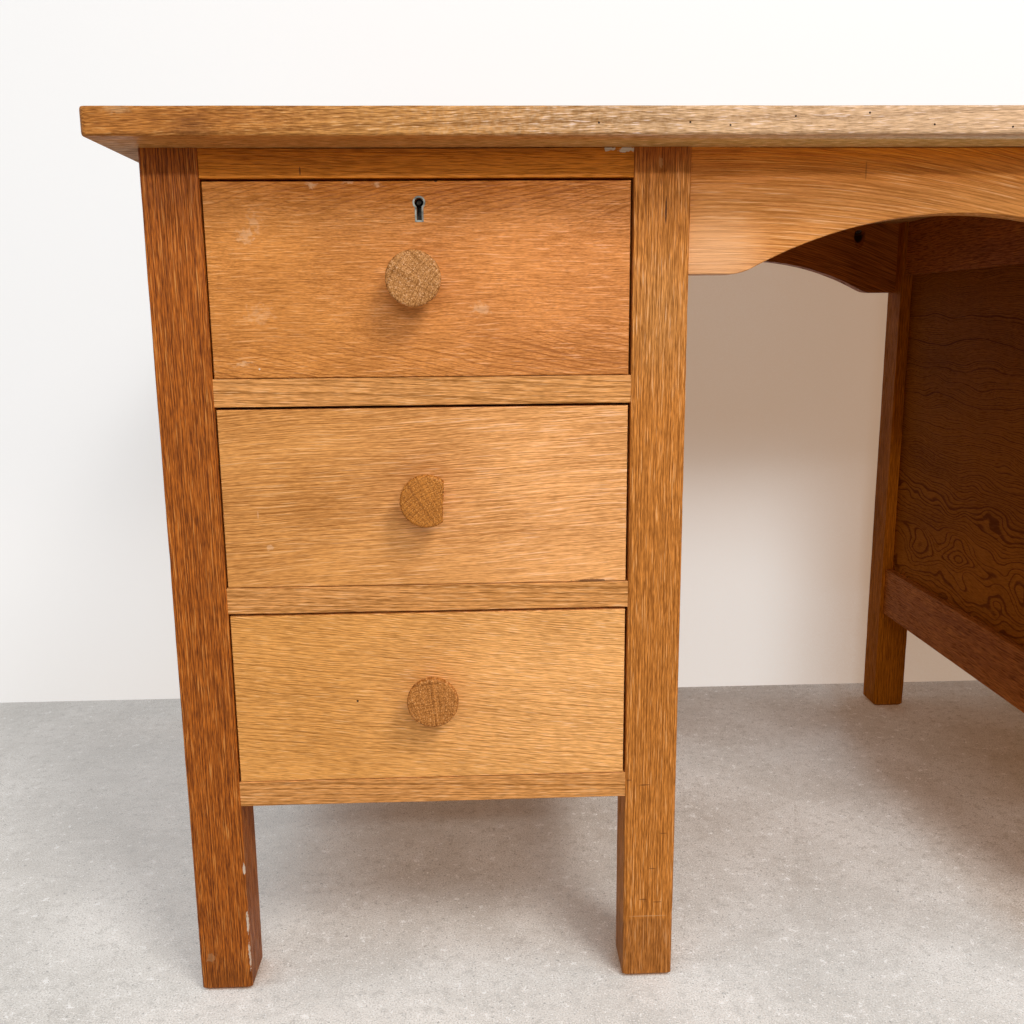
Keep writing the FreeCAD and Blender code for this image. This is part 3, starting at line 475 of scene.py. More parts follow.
# %% [markdown]
# ## Worn bars
# A leg, a rail and a top board are all bars. A plain box would catch the light on knife edges that no
# old desk has, and a bevel would make every arris alike. So the surface is worked out: a rounded
# rectangle is carried along the bar, and the radius of each of its four corners wanders along the way,
# with a chip where it grows suddenly. Each end is closed by a fan of triangles round a pole.

# %% Wandering radii
# A knot of the slow and of the quick wander comes every so many rings, and there are at least so many.
SLOW_KNOTS = (14, 4)
QUICK_KNOTS = (3, 6)
SLOW_SHARE = 0.65


def wander(rng, count, knots):
    """Smooth chance between -1 and 1: random knots joined by cosine blends."""
    at = np.linspace(0, knots - 1, count)
    left = np.minimum(at.astype(int), knots - 2)
    share = (1 - np.cos(np.pi * (at - left))) / 2
    heights = rng.uniform(-1, 1, knots)
    return heights[left] * (1 - share) + heights[left + 1] * share


def worn_radii(rng, count, radius, share):
    """Four corner radii along a bar: slow and quick wander about a radius."""
    slow_count, quick_count = (max(count // step, least) for step, least in (SLOW_KNOTS, QUICK_KNOTS))
    slow = np.stack([wander(rng, count, slow_count) for _ in range(4)], -1)
    quick = np.stack([wander(rng, count, quick_count) for _ in range(4)], -1)
    return radius * (1 + share * (SLOW_SHARE * slow + (1 - SLOW_SHARE) * quick))


print("of a radius' wander,", SLOW_SHARE, "is slow")

# %% The surface of a worn bar
ARC_STEPS = 7
ARC_GUARD = 0.3 * MM


def tube_faces(rings, around):
    """Quads between neighbouring rings, and at each end a fan of triangles round a pole."""
    start = np.arange(rings - 1)[:, None] * around
    here = np.arange(around)
    after = (here + 1) % around
    quads = np.stack([start + here, start + after, start + around + after, start + around + here], -1)
    last = (rings - 1) * around
    low_fan = np.stack([np.full(around, rings * around), after, here], -1)
    high_fan = np.stack([np.full(around, rings * around + 1), last + here, last + after], -1)
    return quads.reshape(-1, 4).tolist() + low_fan.tolist() + high_fan.tolist()


def worn_bar(axis, stations, limits, radii):
    """A rounded rectangle between limits (low and high of the next axis, then of the one after) is
    carried along the axis through the stations. Corner k of ring i is an arc of radii[i, k]: its
    centre lies one radius inside both limits. A guard point beside each arc keeps the flats flat."""
    arc = np.linspace(0, np.pi / 2, ARC_STEPS)
    angle = np.arange(4)[:, None] * np.pi / 2 + np.concatenate([arc[:1], arc, arc[-1:]])
    slide = np.concatenate([[-ARC_GUARD], np.zeros(ARC_STEPS), [ARC_GUARD]])
    first = limits[:, [1, 0, 0, 1]] - radii * np.array([1, -1, -1, 1])
    second = limits[:, [3, 3, 2, 2]] - radii * np.array([1, 1, -1, -1])
    rings = len(stations)
    points = np.empty((rings, angle.size, 3))
    points[..., axis] = stations[:, None]
    turned = first[..., None] + radii[..., None] * np.cos(angle) - slide * np.sin(angle)
    points[..., (axis + 1) % 3] = turned.reshape(rings, -1)
    turned = second[..., None] + radii[..., None] * np.sin(angle) + slide * np.cos(angle)
    points[..., (axis + 2) % 3] = turned.reshape(rings, -1)
    poles = points[[0, -1]].mean(axis=1)
    return np.concatenate([points.reshape(-1, 3), poles]), tube_faces(rings, angle.size)


print("an arris is", ARC_STEPS, "points round, with a guard point on either side")

# %% Put a surface in its place
SHARP_ANGLE = math.radians(38)


def add_piece(name, points, faces, material, body, replaced):
    """Puts a computed surface into a mesh, in place, and lets it stand for a CAD node."""
    mesh = bpy.data.meshes.new(name)
    mesh.from_pydata(points.tolist(), [], faces, shade_flat=False)
    mesh.set_sharp_from_angle(angle=SHARP_ANGLE)
    mesh.materials.append(material)
    piece = bpy.data.objects.new(name, mesh)
    bpy.context.scene.collection.objects.link(piece)
    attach(piece, body)
    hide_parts(replaced)
    return piece


print("edges sharper than", round(math.degrees(SHARP_ANGLE)), "degrees stay sharp")

# %% [markdown]
# ## Writing marks down
# Marks are written at the place where they lie, in millimetres in the desk's frame, with the half sizes
# of their ellipsoid. Most lie on a front face, so it is read from the CAD how far back these faces are.

# %% Two ways to mark wood
def covers(at, size, colour, **edge):
    """A mark that covers the wood with a colour."""
    return {"at": at, "size": size, "colour": colour, **edge}


def tints(at, size, gain, **edge):
    """A mark that multiplies the wood's own red, green and blue by a gain."""
    return {"at": at, "size": size, "gain": gain, **edge}


def front_of(node):
    """How far back the front of a CAD node lies, to a hundredth of a millimetre."""
    return round(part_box(node)[0][1] / MM, 2)


LEG_FACE = front_of("left_outer_front_leg")
print("the fronts of the legs lie at", LEG_FACE, "mm")

# %% [markdown]
# ## Legs
# Each leg is a 46 mm post with a 3.5 mm bevel round its foot. Feet are kicked and dragged, so arrises
# are rounder near the floor. The chips on the outer leg, close to its foot, are the deepest.

# %% Wear of the front legs
WHITE_CHIP = "#e2d3bf"
DARK_NICK = "#5a2c0c"
# A chip is the corner it sits on, its height above the floor, its depth and its half length.
LEG_CHIPS = {
    "left_outer_front_leg": [(3, 122, 2.2, 5), (3, 70, 3.0, 11), (3, 29, 2.6, 8), (2, 410, 1.4, 9)],
    "left_inner_front_leg": [(3, 63, 1.6, 4), (2, 300, 1.2, 10), (3, 455, 1.3, 7), (3, 552, 1.4, 5),
                             (3, 580, 1.6, 9), (3, 612, 1.3, 12)],
}
CHIP_FACE = LEG_FACE + 1
# Dark nicks in the inner leg: how far along and how high, half width, half height and how much shows.
LEG_NICKS = [(-253.5, 194, 6, 0.8, 0.7), (-267.6, 199, 3, 0.9, 0.6), (-235, 146, 4, 0.7, 0.6),
             (-245, 111, 4, 0.7, 0.6), (-253, 80, 5, 0.7, 0.6), (-240, 77, 5, 0.7, 0.6)]
# The top's shadow is painted on the head of each leg, and the foot is grimy.
# The inner leg is bleached below its head.
LEG_MARKS = {
    "left_outer_front_leg": [
        # Painted shadow of the top on the leg's head.
        tints((-638, LEG_FACE, 744), (60, 60, 36), (0.68, 0.60, 0.22), soft=0.9),
        tints((-638, LEG_FACE, 0), (60, 60, 46), (0.84, 0.88, 1.0), soft=0.7),
        covers((-616, CHIP_FACE, 122), (1.1, 4, 7), WHITE_CHIP, ragged=1.2, share=0.8),
        covers((-616, CHIP_FACE, 69), (1.2, 4, 13), WHITE_CHIP, ragged=1.4, share=0.8),
        covers((-616, CHIP_FACE, 33), (1.0, 4, 17), WHITE_CHIP, ragged=1.8, share=0.7),
        covers((-650.6, LEG_FACE, 34), (5, 3, 5), "#b98d62", ragged=2.4, share=0.4),
    ],
    "left_inner_front_leg": [
        # Painted shadow of the top on the leg's head.
        tints((-248, LEG_FACE, 744), (60, 60, 36), (0.66, 0.44, 0.14), soft=0.9),
        tints((-248, LEG_FACE, 610), (40, 60, 90), (0.98, 1.12, 1.6), soft=0.9),
        *(covers((x, LEG_FACE, z), (wide, 2, high), DARK_NICK, ragged=0.9, share=share)
          for x, z, wide, high, share in LEG_NICKS),
        covers((-248, LEG_FACE, 63), (21, 2, 0.6), "#d3a070", ragged=0.7, share=0.6),
        tints((-248, LEG_FACE, 20), (60, 60, 44), (0.82, 0.82, 0.9), soft=0.12),
        covers((-244.7, LEG_FACE, 692), (0.9, 2, 13), "#4d2406", ragged=0.5, relief=-2.0),
        covers((-249.5, LEG_FACE, 729), (2, 2, 5), "#c08a54", ragged=1.6, share=0.5),
    ],
}
print("marks on the front legs:", [len(marks) for marks in LEG_MARKS.values()])

# %% Make the legs
LEG_ARRIS = 1.5 * MM
# The share of its radius by which an arris wanders.
LEG_UNEVEN = 0.5
FOOT_BEVEL = 3.5 * MM
# At the floor arrises are rounder by this share, which fades over this height.
FOOT_WEAR = 0.9
FOOT_WEAR_HEIGHT = 70 * MM
RING_STEP = 3 * MM
LEG_PITH_STEP = 9
SIDES = ("left", "right")


def make_leg(name, seed):
    """A worn post: corner radii wander, grow towards the foot and swell at chips; the foot is bevelled."""
    low, high = (np.array(corner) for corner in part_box(name))
    rng = np.random.default_rng(seed)
    count = int((high[2] - low[2] - FOOT_BEVEL) / RING_STEP)
    heights = np.concatenate([[low[2]], np.linspace(low[2] + FOOT_BEVEL, high[2], count)])
    radii = worn_radii(rng, len(heights), LEG_ARRIS, LEG_UNEVEN)
    radii *= 1 + FOOT_WEAR * np.exp(-heights / FOOT_WEAR_HEIGHT)[:, None]
    for corner, height, depth, half_length in LEG_CHIPS.get(name, []):
        radii[:, corner] += depth * MM * np.exp(-((heights - height * MM) / (half_length * MM)) ** 2)
    inset = np.where(heights < low[2] + FOOT_BEVEL, FOOT_BEVEL, 0.0)
    limits = np.stack([low[0] + inset, high[0] - inset, low[1] + inset, high[1] - inset], -1)
    points, faces = worn_bar(2, heights, limits, radii)
    tone = LEG_DARK if "left_outer" in name else LEG_LIGHT
    tone = REAR_LEG_SHADE if "rear" in name else tone
    sideways, through = RIFT_POST["pith"]
    cut = {**RIFT_POST, "pith": (sideways * (-1) ** seed, through + LEG_PITH_STEP * seed)}
    material = oak("oiled oak, " + name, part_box(name), tone, cut, seed, LEG_MARKS.get(name, ()))
    return add_piece("worn_" + name, points, faces, material, "carcass", name)


leg_names = [side + "_" + place + "_" + end + "_leg" for end in ("front", "rear")
             for place in ("outer", "inner") for side in SIDES]
for leg_seed, leg_name in enumerate(leg_names):
    leg = make_leg(leg_name, leg_seed)
    print(leg.name, len(leg.data.polygons), "faces")

# %% [markdown]
# ## Front rails
# Three rails cross each pedestal below its drawers, flush with the fronts. They are bars as well.
# Their tenons are hidden in the legs, so what shows is the stretch from leg to leg.

# %% Make the front rails
RAIL_ARRIS = 0.9 * MM
RAIL_UNEVEN = 0.6
# The heights of the rails' undersides above the floor, and how thick they are, in millimetres.
RAIL_BOTTOMS = (183, 361, 538)
RAIL_THICKNESS = 23
# A rail reaches this far into the legs, so that no light shows between them.
RAIL_REACH = 0.02 * MM
RAIL_PITHS = ((85, -95), (70, -107), (55, -119))
RAIL_SHAPE_SEEDS = {"left": 40, "right": 50}
RAIL_OAK_SEED = 20


def make_rail(side, number, bottom):
    """A worn bar along X between the two front legs of a pedestal."""
    node = side + "_drawer_rails"
    low, high = (np.array(corner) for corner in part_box(node))
    legs = [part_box(side + "_" + place + "_front_leg") for place in ("outer", "inner")]
    legs = sorted(legs, key=lambda corners: corners[0][0])
    low[0] = legs[0][1][0] - RAIL_REACH
    high[0] = legs[1][0][0] + RAIL_REACH
    low[2] = bottom * MM
    high[2] = (bottom + RAIL_THICKNESS) * MM
    rng = np.random.default_rng(RAIL_SHAPE_SEEDS[side] + number)
    stations = np.linspace(low[0], high[0], int((high[0] - low[0]) / RING_STEP))
    radii = worn_radii(rng, len(stations), RAIL_ARRIS, RAIL_UNEVEN)
    limits = np.tile([low[1], high[1], low[2], high[2]], (len(stations), 1))
    points, faces = worn_bar(0, stations, limits, radii)
    corners = (Vector(low), Vector(high))
    cut = {**RIFT_RAIL, "pith": RAIL_PITHS[number]}
    name = side + "_rail_" + str(number)
    material = oak("oiled oak, " + name, corners, RAIL_TONE, cut, RAIL_OAK_SEED + number)
    return add_piece("worn_" + name, points, faces, material, "carcass", node)


for rail_side in SIDES:
    for rail_number, rail_bottom in enumerate(RAIL_BOTTOMS):
        rail = make_rail(rail_side, rail_number, rail_bottom)
        print(rail.name, len(rail.data.polygons), "faces")

# %% [markdown]
# ## Desk top
# The top is five boards glued edge to edge. Its outer edges are rounded by 2.5 mm, its corners by 6 mm.
# Each board is a bar along X, with its own log, so the seams show as a change of figure, as they do on
# a real top. The front edge is the most handled, so its line wavers by a fraction of a millimetre.

# %% Wear of the front edge
NAIL_HOLE = "#2e1606"
EDGE_FACE = front_of("desk_top")
# The left end is stained, the rest has bleached and carries a painted reflection over it,
# and painted light from below lightens the underside of the edge.
TOP_MARKS = [
    tints((-605, EDGE_FACE, 747), (24, 20, 13), (0.66, 0.62, 0.6), ragged=0.8, soft=0.9),
    tints((-640, EDGE_FACE, 753), (190, 20, 24), (0.80, 0.64, 0.42), ragged=0.8, soft=0.8),
    covers((-657, EDGE_FACE, 759), (14, 20, 4), "#d3a877", ragged=1.6, soft=0.8, share=0.4),
    # Bleached, and painted paler still as a reflection of the pale room.
    tints((300, EDGE_FACE, 752), (800, 26, 60), (1.10, 1.45, 2.8), ragged=0.4, soft=0.3),
    covers((300, EDGE_FACE, 752), (700, 26, 60), "#ecc8a8", ragged=0.8, soft=0.6, share=0.35),
    # Painted light from below on the underside of the edge.
    tints((200, -350, 740), (800, 34, 7), (1.38, 2.05, 3.0), soft=0.6),
]
# Nail holes lie along the front edge: how far along it, and how high.
NAIL_PLACES = [(-305.9, 749.6), (-237.6, 749.9), (-207.5, 747.7), (-158.5, 754.0), (-102.7, 756.3),
               (-52.7, 748.0), (7.2, 746.2)]
TOP_MARKS += [covers((x, EDGE_FACE, z), (0.9, 3, 0.9), NAIL_HOLE, soft=0.3, relief=-3.0)
              for x, z in NAIL_PLACES]
print(len(TOP_MARKS), "marks on the front edge,", len(NAIL_PLACES), "of them nail holes")

# %% Make the desk top
TOP_ARRIS = 2.5 * MM
TOP_UNEVEN = 0.35
TOP_CORNER = 6 * MM
SEAM_ARRIS = 0.35 * MM
SEAM_GUARD = 0.01 * MM
EDGE_WAVER = 0.3 * MM
WAVER_KNOTS = 40
BOARD_STEP = 6 * MM
BOARD_LEVELS = (0.50, 0.42, 0.56, 0.46, 0.52)
BOARD_PITHS = ((18, -58), (-12, -71), (-42, -84), (18, -97), (-12, -110))
BOARD_COUNT = len(BOARD_PITHS)
BOARD_SHAPE_SEED = 70
BOARD_OAK_SEED = 50


def rounding(distance, radius):
    """How far a quarter circle of that radius still stands in at a distance from its start."""
    left = np.maximum(radius - distance, 0)
    return radius - np.sqrt(radius ** 2 - left ** 2)


def make_board(number):
    """One board of the top: a bar along X whose outer arrises are rounded and whose ends ease in."""
    low, high = (np.array(corner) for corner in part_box("desk_top"))
    width = (high[1] - low[1]) / BOARD_COUNT
    rng = np.random.default_rng(BOARD_SHAPE_SEED + number)
    turns = 1 - np.cos(np.linspace(0, np.pi / 2, ARC_STEPS))
    ease = np.unique(np.concatenate([turns * TOP_ARRIS, turns * TOP_CORNER]).round(7))
    middle = np.arange(low[0] + TOP_CORNER + BOARD_STEP, high[0] - TOP_CORNER - BOARD_STEP / 2, BOARD_STEP)
    stations = np.concatenate([low[0] + ease, middle, (high[0] - ease)[::-1]])
    end_distance = np.minimum(stations - low[0], high[0] - stations)
    thin = rounding(end_distance, TOP_ARRIS)
    corner = rounding(end_distance, TOP_CORNER)
    front, rear = number == 0, number == BOARD_COUNT - 1
    y_low = np.full(len(stations), low[1] + number * width + SEAM_GUARD)
    y_high = np.full(len(stations), low[1] + (number + 1) * width - SEAM_GUARD)
    radii = np.full((len(stations), 4), SEAM_ARRIS)
    worn = worn_radii(rng, len(stations), TOP_ARRIS, TOP_UNEVEN)
    if front:
        y_low += corner + EDGE_WAVER * (1 + wander(rng, len(stations), WAVER_KNOTS))
        radii[:, 1:3] = worn[:, 1:3]
    if rear:
        y_high -= corner
        radii[:, [0, 3]] = worn[:, [0, 3]]
    limits = np.stack([y_low, y_high, low[2] + thin, high[2] - thin], -1)
    points, faces = worn_bar(0, stations, limits, radii)
    board_low = Vector((low[0], low[1] + number * width, low[2]))
    board_high = Vector((high[0], low[1] + (number + 1) * width, high[2]))
    cut = {**PLAIN_BOARD, "pith": BOARD_PITHS[number]}
    name = "desk_top_board_" + str(number + 1)
    marks = TOP_MARKS if front else ()
    tone = {**TOP_TONE, "level": BOARD_LEVELS[number]}
    seed = BOARD_OAK_SEED + number
    material = oak("waxed oak, " + name, (board_low, board_high), tone, cut, seed, marks)
    return add_piece(name, points, faces, material, "carcass", "desk_top")


for board_number in range(BOARD_COUNT):
    board = make_board(board_number)
    print(board.name, len(board.data.polygons), "faces")

# %% [markdown]
# ## Knobs
# A knob is turned from a blank whose grain runs along its axis, so its face is end grain, with rings
# and rays crossing. A profile carried round the axis gives it. On the left middle drawer a sliver of
# the head has split away along the grain: there, every point beyond the break is brought back to it.

# %% The shape of a knob
# These are the sizes of the turned model, in millimetres.
KNOB_RADIUS = 22.0
KNOB_LENGTH = 25.5
KNOB_RIM = 6.0
KNOB_ROUND = 2.4
KNOB_DOME = 0.6
KNOB_COLLAR_RADIUS = 14.0
KNOB_COLLAR = 2.5
KNOB_NECK_RADIUS = 11.5
KNOB_UNDERCUT = 1.0
KNOB_SPIGOT_RADIUS = 6.0
SPIGOT_LENGTH = 19.5
# The collar stands this far off the drawer's face, so that the two don't lie in one plane.
KNOB_SEAT = 0.02
# How many points the crown, the round, the rim and the neck have, and where the crown's first one is.
CROWN_POINTS = 10
ROUND_POINTS = 8
RIM_POINTS = 9
NECK_POINTS = 16
CROWN_START = 0.04
BREAK_OFFSET = 14.3
BREAK_LEAN = math.radians(3)
BREAK_HOLLOW = 1.0
BREAK_RIDGE = 0.35
# Two sets of ridges: strength, how quickly they come upwards and outwards, and where they start.
BREAK_WAVES = ((1.0, 1.9, 0.10, 0.0), (0.6, 4.3, 0.25, 1.0))


def knob_profile():
    """Radius and distance out from the drawer face, in millimetres, from the crown to the spigot's end:
    a shallow parabola, a quarter circle, the rim, a hollow neck, the collar and the spigot."""
    flat = KNOB_RADIUS - KNOB_ROUND
    crown = np.linspace(CROWN_START, 1, CROWN_POINTS) * flat
    crown_out = KNOB_LENGTH - KNOB_DOME * (crown / flat) ** 2
    turn = np.linspace(0, np.pi / 2, ROUND_POINTS)[1:]
    edge = flat + KNOB_ROUND * np.sin(turn)
    edge_out = KNOB_LENGTH - KNOB_DOME - KNOB_ROUND * (1 - np.cos(turn))
    rim_back = KNOB_LENGTH - KNOB_RIM
    rim_out = np.linspace(edge_out[-1], rim_back, RIM_POINTS)[1:]
    share = np.linspace(0, 1, NECK_POINTS)
    neck_out = (rim_back - KNOB_UNDERCUT) * (1 - share) + KNOB_COLLAR * share
    straight = (KNOB_RADIUS - KNOB_UNDERCUT) * (1 - share) + KNOB_COLLAR_RADIUS * share
    sag = (KNOB_RADIUS - KNOB_UNDERCUT + KNOB_COLLAR_RADIUS) / 2 - KNOB_NECK_RADIUS
    neck = straight - 4 * sag * share * (1 - share)
    tail = np.array([KNOB_COLLAR_RADIUS, KNOB_SPIGOT_RADIUS, KNOB_SPIGOT_RADIUS])
    tail_out = np.array([KNOB_SEAT, KNOB_SEAT, -SPIGOT_LENGTH])
    radius = np.concatenate([crown, edge, np.full(len(rim_out), KNOB_RADIUS), neck, tail])
    return radius, np.concatenate([crown_out, edge_out, rim_out, neck_out, tail_out])


def break_line(up, out):
    """Where the split face lies to the right of the axis: a leaning plane, hollowed, with ridges."""
    plane = (BREAK_OFFSET + up * math.sin(BREAK_LEAN)) / math.cos(BREAK_LEAN)
    hollow = BREAK_HOLLOW * (1 - (up / KNOB_RADIUS) ** 2)
    ridges = sum(strength * np.sin(up * upwards + outwards * out + start)
                 for strength, upwards, outwards, start in BREAK_WAVES)
    return plane - hollow + BREAK_RIDGE * ridges


print("a knob's profile has", len(knob_profile()[0]), "points")

# %% Make the knobs
LEVELS = ("top", "middle", "bottom")
KNOB_STEPS = 144
KNOB_PITHS = ((70, 45), (40, 63), (10, 81))
KNOB_OAK_SEED = 90
WELD_DISTANCE = 0.02 * MM
# The knobs have aged apart: the top one greyer, the middle one more orange than their wood.
KNOB_GAINS = {"top": (1.0, 1.1, 1.45), "middle": (1.0, 0.9, 0.6), "bottom": (1.0, 0.95, 0.9)}
# The mark that ages a knob is three times as large as its radius, so that it reaches all of it.
AGEING_SIZE = [3 * KNOB_RADIUS] * 3


def weld(mesh):
    """Joins the points that the break has brought together, and takes out the faces left without area."""
    shell = bmesh.new()
    shell.from_mesh(mesh)
    bmesh.ops.remove_doubles(shell, verts=shell.verts, dist=WELD_DISTANCE)
    bmesh.ops.dissolve_degenerate(shell, edges=shell.edges, dist=WELD_DISTANCE)
    shell.to_mesh(mesh)
    shell.free()
    mesh.set_sharp_from_angle(angle=SHARP_ANGLE)


def make_knob(side, level, number):
    """The profile carried round the knob's axis, which stands square to the drawer face."""
    node = side + "_" + level + "_drawer_knob"
    low, high = (np.array(corner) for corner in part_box(node))
    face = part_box(side + "_" + level + "_drawer_front")[0][1]
    axis_z = (low[2] + high[2]) / 2
    axis_x = low[0] + KNOB_RADIUS * MM
    radius, out = knob_profile()
    angle = np.arange(KNOB_STEPS) * (2 * np.pi / KNOB_STEPS)
    up = radius[:, None] * np.cos(angle)
    right = radius[:, None] * np.sin(angle)
    level_out = np.broadcast_to(out[:, None], up.shape)
    broken = node == "left_middle_drawer_knob"
    if broken:
        right = np.minimum(right, break_line(up, level_out))
    points = np.stack([axis_x + right * MM, face - level_out * MM, axis_z + up * MM], -1).reshape(-1, 3)
    poles = np.array([[axis_x, face - KNOB_LENGTH * MM, axis_z],
                      [axis_x, face - out[-1] * MM, axis_z]])
    points = np.concatenate([points, poles])
    faces = tube_faces(len(radius), KNOB_STEPS)
    cut = {**KNOB_BLANK, "pith": KNOB_PITHS[number]}
    ageing = tints((low + high) / 2 / MM, AGEING_SIZE, KNOB_GAINS[level])
    material = oak("turned oak, " + node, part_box(node), KNOB_TONE, cut, KNOB_OAK_SEED + number, [ageing])
    body = side + "_" + level + "_drawer"
    knob = add_piece("turned_" + node, points, faces, material, body, node)
    if broken:
        weld(knob.data)
    return knob


for knob_side in SIDES:
    for knob_number, knob_level in enumerate(LEVELS):
        knob = make_knob(knob_side, knob_level, knob_number)
        print(knob.name, len(knob.data.polygons), "faces")

# %% [markdown]
# ## Drawer fronts
# The CAD fronts already have their rounded arrises, dovetail sockets, keyhole and spigot hole, so they
# stay. Each was sawn from a different place in the log. The top one lay above the pith and leans, so its
# rings open into arches. The two below lay off to one side, so theirs run straight along, or aslant.

# %% Wear of the drawer fronts
PALE_SCUFF = "#ecbd90"
FRONT_FACE = front_of("left_top_drawer_front")
# Scuffs on the top drawer: how far along and how high, half width, half height and how much shows.
SCUFFS = [(-582, 674, 8, 7, 0.4), (-574, 684, 6, 13, 0.3), (-573, 613, 12, 10, 0.25), (-395, 616, 9, 6, 0.4),
          (-527, 713, 5, 3, 0.6), (-499, 715, 6, 2, 0.5), (-476, 713, 5, 2, 0.6), (-590, 573, 8, 3, 0.5)]
# Each front is painted paler towards the kneehole, as light falls more fully there, and the top
# rail's shadow is painted on the head of the top one.
FRONT_MARKS = {
    "left_top_drawer_front": [
        # Painted light: paler towards the kneehole.
        tints((-300, FRONT_FACE, 640), (260, 90, 160), (1.11, 1.08, 1.3), soft=0.9),
        # Painted shadow of the top rail on the head of the front.
        tints((-443, FRONT_FACE, 717), (260, 40, 34), (0.88, 0.74, 0.4), soft=0.8),
        covers((-576.4, FRONT_FACE, 569), (0.9, 9, 0.9), WHITE_CHIP),
        covers((-429.3, FRONT_FACE, 715.6), (1.4, 9, 1.2), NAIL_HOLE),
        *(covers((x, FRONT_FACE, z), (wide, 9, high), PALE_SCUFF, ragged=3.2, soft=0.9, share=share)
          for x, z, wide, high, share in SCUFFS),
    ],
    "left_middle_drawer_front": [
        # Painted light: paler towards the kneehole.
        tints((-300, FRONT_FACE, 470), (260, 90, 190), (1.25, 1.35, 1.8), soft=0.9),
        covers((-304, FRONT_FACE, 385.5), (16, 9, 1.6), DARK_NICK, ragged=1.4, share=0.8),
        covers((-584.7, FRONT_FACE, 447.6), (0.7, 9, 4), PALE_SCUFF, share=0.4),
        covers((-576, FRONT_FACE, 419), (3, 9, 2.5), PALE_SCUFF, ragged=2.0, share=0.5),
    ],
    "left_bottom_drawer_front": [
        # Painted light: paler towards the kneehole.
        tints((-300, FRONT_FACE, 290), (260, 90, 190), (1.22, 1.34, 1.8), soft=0.9),
        covers((-507.8, FRONT_FACE, 280), (1.2, 9, 1.2), NAIL_HOLE, relief=-3.0),
    ],
}
print("marks on the drawer fronts:", [len(marks) for marks in FRONT_MARKS.values()])

# %% Finish the drawer fronts
FRONT_CUTS = {
    "top": {**PLAIN_FRONT, "pith": (4, -115), "lean": (7.0, 0)},
    "middle": {**PLAIN_FRONT, "pith": (-95, -120), "lean": (0, -3.0), "fibres": (36, 1.0)},
    "bottom": {**PLAIN_FRONT, "pith": (-110, -110), "lean": (0, 6.0), "fibres": (18, 1.0),
               "bend": (70, 24, 2.0)},
}
FRONT_OAK_SEEDS = {"left": 10, "right": 13}
for front_number, front_level in enumerate(LEVELS):
    for front_side in SIDES:
        front_name = front_side + "_" + front_level + "_drawer_front"
        front_seed = FRONT_OAK_SEEDS[front_side] + front_number
        front_oak = oak("oiled oak, " + front_name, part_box(front_name), FRONT_TONES[front_level],
                        FRONT_CUTS[front_level], front_seed, FRONT_MARKS.get(front_name, ()))
        dress(front_name, front_oak)
print("dressed six drawer fronts")

# %% [markdown]
# ## Aprons, top rails and frames
# The aprons come from wood off to one side of the pith, so their lines run straight but for one bow.
# The side and back rails and the rear apron are painted dark for the shade they stand in, and the
# panels of the kneehole are dark wood painted darker still for it. The panels are peeled veneer: the
# knife follows the rings, so wherever the log wasn't round the figure swirls like contours on a map.
# Inside, nothing was oiled: drawer sides, runners and guides are planed oak, pale and dull, and the
# drawers' floors are birch ply.

# %% Finish the aprons
SEAM_SHADOW = "#3a1c06"
APRON_FACE = front_of("front_apron")
APRON_CUT = {**PLAIN_FRONT, "pith": (-160, -110), "lean": (0, 0), "bend": (170, 40, 2.0),
             "ring": 3.2, "bow": (-200, -0.5), "fibres": (44, 0.9), "vessels": (60, 3.0)}
# The top's shadow is painted on the apron's head, a thin painted shadow lies in the seam,
# and a painted sheen lies at the foot of its arch.
APRON_MARKS = [
    # Painted shadow of the top on the apron's head.
    tints((0, APRON_FACE, 744), (700, 60, 42), (0.96, 0.70, 0.1), soft=0.9),
    covers((0, APRON_FACE, 741), (240, 9, 1.4), SEAM_SHADOW, ragged=0.4, share=0.7),
    covers((-82, APRON_FACE, 723), (0.8, 9, 9), "#7a4217", ragged=0.8, share=0.5),
    # Painted sheen at the foot of the arch.
    covers((-205, APRON_FACE, 655), (60, 40, 50), "#efb888", soft=0.9, share=0.6),
]
# The pockets for the screws are painted dark inside, for the shade in them.
POCKET_SHADE_MARKS = [covers((x, 328, 723), (8.5, 6, 13), "#1c0a04", share=0.9) for x in (-167, 167)]
# The rear apron takes the tone with painted shade, and its pockets are painted dark.
APRON_FINISHES = {"front": (APRON_TONE, 30, APRON_MARKS), "rear": (SHADED_TONE, 31, POCKET_SHADE_MARKS)}
for end, (tone, seed, marks) in APRON_FINISHES.items():
    apron_oak = oak("oiled oak, " + end + " apron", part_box(end + "_apron"), tone, APRON_CUT, seed, marks)
    dress(end + "_apron", apron_oak)
    print("dressed the", end, "apron in", apron_oak.name)

# %% Finish the frames and the drawers' insides
PALE_BLOT = "#cbb8a2"
# The top's shadow is painted on the top rail as well, with a thin painted shadow in the seam,
# and two pale blots sit in the seam near its right end.
TOP_RAIL_MARKS = [
    # Painted shadow of the top on the rail's head.
    tints((-443, FRONT_FACE, 744), (700, 60, 22), (0.70, 0.60, 0.1), soft=0.9),
    covers((-443, FRONT_FACE, 741), (190, 9, 1.4), SEAM_SHADOW, ragged=0.4, share=0.7),
    covers((-291, FRONT_FACE, 739.5), (5, 9, 1.8), PALE_BLOT, ragged=2.0, soft=0.2),
    covers((-277, FRONT_FACE, 739), (7, 9, 2.6), PALE_BLOT, ragged=2.2, soft=0.2),
    covers((-536, FRONT_FACE, 723.5), (0.9, 9, 4), DARK_NICK, share=0.7),
]
